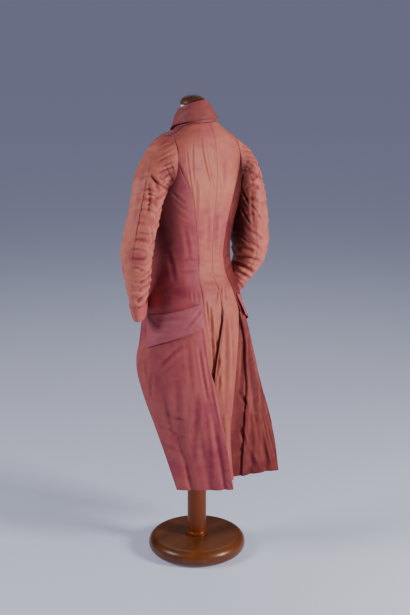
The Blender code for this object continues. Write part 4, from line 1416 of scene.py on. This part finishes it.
# Each sleeve's two halves
sleeveColumnList = spread(0, sleeveColumns, 6, (0, sleeveColumns))
sleeveRowList = spread(0, sleeveRows, 9, (0, sleeveRows))
sleeveCreases = {
    "left": (sleeveLeftCreases, sleeveRightCreases),
    "right": (sleeveRightCreases, sleeveLeftCreases),
}
for side in ("left", "right"):
    seen, hidden = sleeveCreases[side]
    for half, start in (("upper", sleeveSeamTurn - 180.0), ("under", sleeveSeamTurn)):
        def pointAt(column, row):
            return sleevePoint(side, start + 180.0 * column / sleeveColumns, row / sleeveRows)
        sleeve = {
            "name": f"coat_sleeve_{side}_{half}",
            "columnSize": 0.013,
            "rowSize": 0.031,
            "material": sleeveSilk,
            "replaces": [f"sleeve_{side}_{half}"],
            "slot": "rose_taffeta",
            "flat": {"upper": (0.17, 0.53), "under": (0.15, 0.53)}[half],
            "area": {"upper": 0.078, "under": 0.062}[half],
            "held": "hung",
            "restsOn": ["form_torso"],
            "seamHold": 0.75,
        }
        clothSkin(
            sleeve, pointAt, sleeveColumnList, sleeveRowList,
            shapeBy=shaped(seen, hidden, 0.0, 6.0, crumple=0.0018, seed=8.0),
            flip=side == "right")
print("sleeves made")

# Fitted cuffs
for side in ("left", "right"):
    def pointAt(column, row):
        around = cuffSlit + (360.0 - 2.0 * cuffSlit) * column / cuffColumns + cuffOpeningTurn
        return sleevePoint(side, around, mix(cuffStart, 1.0, row / cuffRows), cuffStandOff)
    cuff = {
        "name": "coat_cuff_" + side,
        "columnSize": 0.010,
        "rowSize": 0.022,
        "material": sleeveSilk,
        "replaces": ["cuff_" + side],
        "slot": "rose_taffeta",
        "flat": (0.045, 0.20),
        "area": 0.0090,
        "held": "stretched",
        "restsOn": ["coat_sleeve_" + side + "_under"],
    }
    clothSkin(
        cuff, pointAt, spread(0, cuffColumns, 5, (0, cuffColumns)),
        spread(0, cuffRows, 10, (0, cuffRows)), shapeBy=shaped((), seed=2.0), flip=side == "right")

# The collar: stand, turn over and fall in one sheet
collar = {
    "name": "coat_collar",
    "columnSize": 0.011,
    "rowSize": 0.014,
    "material": collarSilk,
    "replaces": ["collar"],
    "slot": "rose_taffeta",
    "flat": (0.13, 0.32),
    "area": 0.036,
    "held": "folded",
    "restsOn": ["coat_back_left", "coat_back_right"],
}
collarRows = collarStandRows + collarTurnRows + collarFallRows
clothSkin(
    collar, collarPoint, spread(0, collarColumns, 4, (0, collarColumns)),
    spread(0, collarRows, 7, (0, collarRows)),
    shapeBy=shaped(collarCreases, collarCreases, seed=6.0), flip=True)

# The big hip pocket flaps
for side in ("left", "right"):
    flap = {
        "name": "pocket_flap_" + side,
        "columnSize": 0.017,
        "rowSize": 0.018,
        "material": flapSilk,
        "replaces": ["flap_" + side],
        "slot": "rose_taffeta_flap",
        "flat": (0.19, 0.09),
        "area": 0.0140,
        "held": "hung",
        "restsOn": ["coat_front_" + side],
    }
    clothSkin(
        flap, lambda column, row: flapPoint(side, column, row),
        spread(0, flapColumns, 7, (0, flapColumns)), spread(0, flapRows, 9, (0, flapRows)),
        shapeBy=shaped(flapCreases, flapCreases, seed=4.0), flip=side == "right")
print("collar, cuffs and flaps made")


# The padded form and the turned stand
turnSteps = 96
mergeGap = 0.00001


def turnedSkin(piece, profile, lean=0.0):
    bm = bmesh.new()
    verts = [bm.verts.new((radius, 0.0, height)) for radius, height in profile]
    edges = [bm.edges.new(pair) for pair in zip(verts, verts[1:])]
    bmesh.ops.spin(
        bm, geom=verts + edges, cent=(0.0, 0.0, 0.0), axis=(0.0, 0.0, 1.0),
        angle=math.tau, steps=turnSteps, use_merge=True)
    bmesh.ops.remove_doubles(bm, verts=bm.verts[:], dist=mergeGap)
    bmesh.ops.recalc_face_normals(bm, faces=bm.faces[:])
    for vert in bm.verts:
        vert.co.y += lean
    finishPiece(piece, bm, 40.0)


def formSkin(piece, heights, columns):
    bm = bmesh.new()
    loops = []
    for height in heights:
        places = [formPoint(formColumns * index / columns, height) for index in range(columns)]
        loops.append([bm.verts.new(place) for place in places])
    for low, high in zip(loops, loops[1:]):
        for column in range(columns):
            after = (column + 1) % columns
            bm.faces.new((low[column], low[after], high[after], high[column]))
    bm.faces.new(loops[0])
    bm.faces.new(loops[-1])
    bmesh.ops.recalc_face_normals(bm, faces=bm.faces[:])
    finishPiece(piece, bm, 50.0)


formHeightList = []
for low, high in zip(formHeights, formHeights[1:]):
    formHeightList += [mix(low, high, step / 4.0) for step in range(4)]
formHeightList.append(formHeights[-1])
formSkin({
    "name": "padded_form",
    "material": linen,
    "replaces": ["form_torso"],
    "slot": "form_cloth",
}, formHeightList, turnSteps)

# The base, the post and the neck cap
warmWood = makeWood(
    "turned_beech", pale=(0.24, 0.046, 0.002, 1.0), deep=(0.105, 0.016, 0.001, 1.0),
    roughness=0.40, grainScale=(1.0, 1.0, 0.16))
baseWood = makeWood(
    "turned_beech_base", pale=(0.17, 0.047, 0.011, 1.0), deep=(0.072, 0.018, 0.004, 1.0),
    roughness=0.34, grainScale=(0.22, 1.6, 1.6))
capWood = makeWood(
    "dark_turned_cap", pale=(0.15, 0.040, 0.022, 1.0), deep=(0.065, 0.017, 0.010, 1.0),
    roughness=0.62, grainScale=(1.0, 1.0, 1.0))
softEdge = 0.001
halfThick = baseThickness / 2.0
baseTopEdge = postRadius + 0.012
baseArcSteps = 28
baseProfile = [(0.0, baseThickness), (baseTopEdge, baseThickness)]
baseProfile += arcPoints(
    baseRadius - halfThick, halfThick, halfThick, 90.0, -90.0, baseArcSteps)
baseProfile += [(0.0, 0.0)]
turnedSkin({
    "name": "round_base",
    "material": baseWood,
    "replaces": ["stand_base"],
    "slot": "turned_wood",
}, baseProfile)
foot = baseThickness + seamGap
topOfPost = formFloor - seamGap
footFlare = 0.004
footTop = foot + 0.014
footDrop = 0.006
postProfile = [
    (0.0, topOfPost), (postRadius - softEdge, topOfPost), (postRadius, topOfPost - softEdge),
    (postRadius, footTop)]
for turn in (20.0, 45.0, 70.0, 90.0):
    angle = math.radians(turn)
    postProfile.append((
        postRadius + footFlare - footFlare * math.cos(angle),
        footTop - footDrop * math.sin(angle)))
postProfile += [(postRadius + footFlare, foot), (0.0, foot)]
turnedSkin({
    "name": "turned_post",
    "material": warmWood,
    "replaces": ["stand_post"],
    "slot": "turned_wood",
}, postProfile)
rim = neckTop + seamGap
capProfile = []
for turn in range(0, 91, 5):
    angle = math.radians(turn)
    capProfile.append((
        capRadius * math.sin(angle), rim + capRim + (capHeight - capRim) * math.cos(angle)))
capProfile += [(capRadius, rim + softEdge), (capRadius - softEdge, rim), (0.0, rim)]
turnedSkin({
    "name": "neck_cap",
    "material": capWood,
    "replaces": ["form_neck_cap"],
    "slot": "dark_cap_wood",
}, capProfile, neckLean)
print("form and stand made")

# Floor, lights and camera
floorMaterial, floorShader = newMaterial("studio_floor")
setValues(floorShader, {
    "Emission Color": (0.62, 0.64, 1.0, 1.0),
    "Emission Strength": 0.19,
    "Base Color": (0.62, 0.66, 0.76, 1.0),
    "Roughness": 0.95,
})
floorHalfWidth = 400.0
floorMesh = bpy.data.meshes.new("studio_floor")
floorBuild = bmesh.new()
bmesh.ops.create_grid(floorBuild, x_segments=1, y_segments=1, size=floorHalfWidth)
floorBuild.to_mesh(floorMesh)
floorBuild.free()
floorMesh.materials.append(floorMaterial)
floor = bpy.data.objects.new("studio_floor", floorMesh)
bpy.context.scene.collection.objects.link(floor)

world = bpy.data.worlds.new("studio")
world.use_nodes = True
setValues(world.node_tree.nodes["Background"], {
    "Color": (0.62, 0.66, 0.92, 1.0),
    "Strength": 0.06,
})
bpy.context.scene.world = world

# Each light: its place toward the camera, to the right and up, its size and watts
Light = namedtuple("Light", "name toward right up wide tall watts colour")
lights = table(Light, (
    ("key", 1.1, 2.3, 1.40, 0.55, 0.7, 85.0, (1.0, 0.98, 0.95)),
    ("fill", 0.9, -2.4, 2.1, 1.0, 1.0, 57.0, (0.96, 0.97, 1.0)),
    ("rim", -2.6, 0.0, 2.8, 2.0, 1.2, 12.0, (0.92, 0.95, 1.0)),
))
lightAim = Vector((0.0, 0.0, 0.85))
for light in lights:
    data = bpy.data.lights.new(light.name, "AREA")
    data.shape = "RECTANGLE"
    data.size = light.wide
    data.size_y = light.tall
    data.energy = light.watts
    data.color = light.colour
    place = towardViewer * light.toward + viewRight * light.right + Vector((0.0, 0.0, light.up))
    lamp = bpy.data.objects.new(light.name, data)
    lamp.location = place
    lamp.rotation_euler = (lightAim - place).to_track_quat("-Z", "Y").to_euler()
    bpy.context.scene.collection.objects.link(lamp)

sensorHeight = 36.0
cameraData = bpy.data.cameras.new("photo_camera")
cameraData.sensor_fit = "VERTICAL"
cameraData.sensor_height = sensorHeight
cameraData.lens = lensUnits / frameTall * sensorHeight
cameraData.clip_end = 1000.0
camera = bpy.data.objects.new("photo_camera", cameraData)
camera.location = viewPlace
camera.rotation_euler = viewForward.to_track_quat("-Z", "Y").to_euler()
bpy.context.scene.collection.objects.link(camera)
bpy.context.scene.camera = camera

print("scene finished")
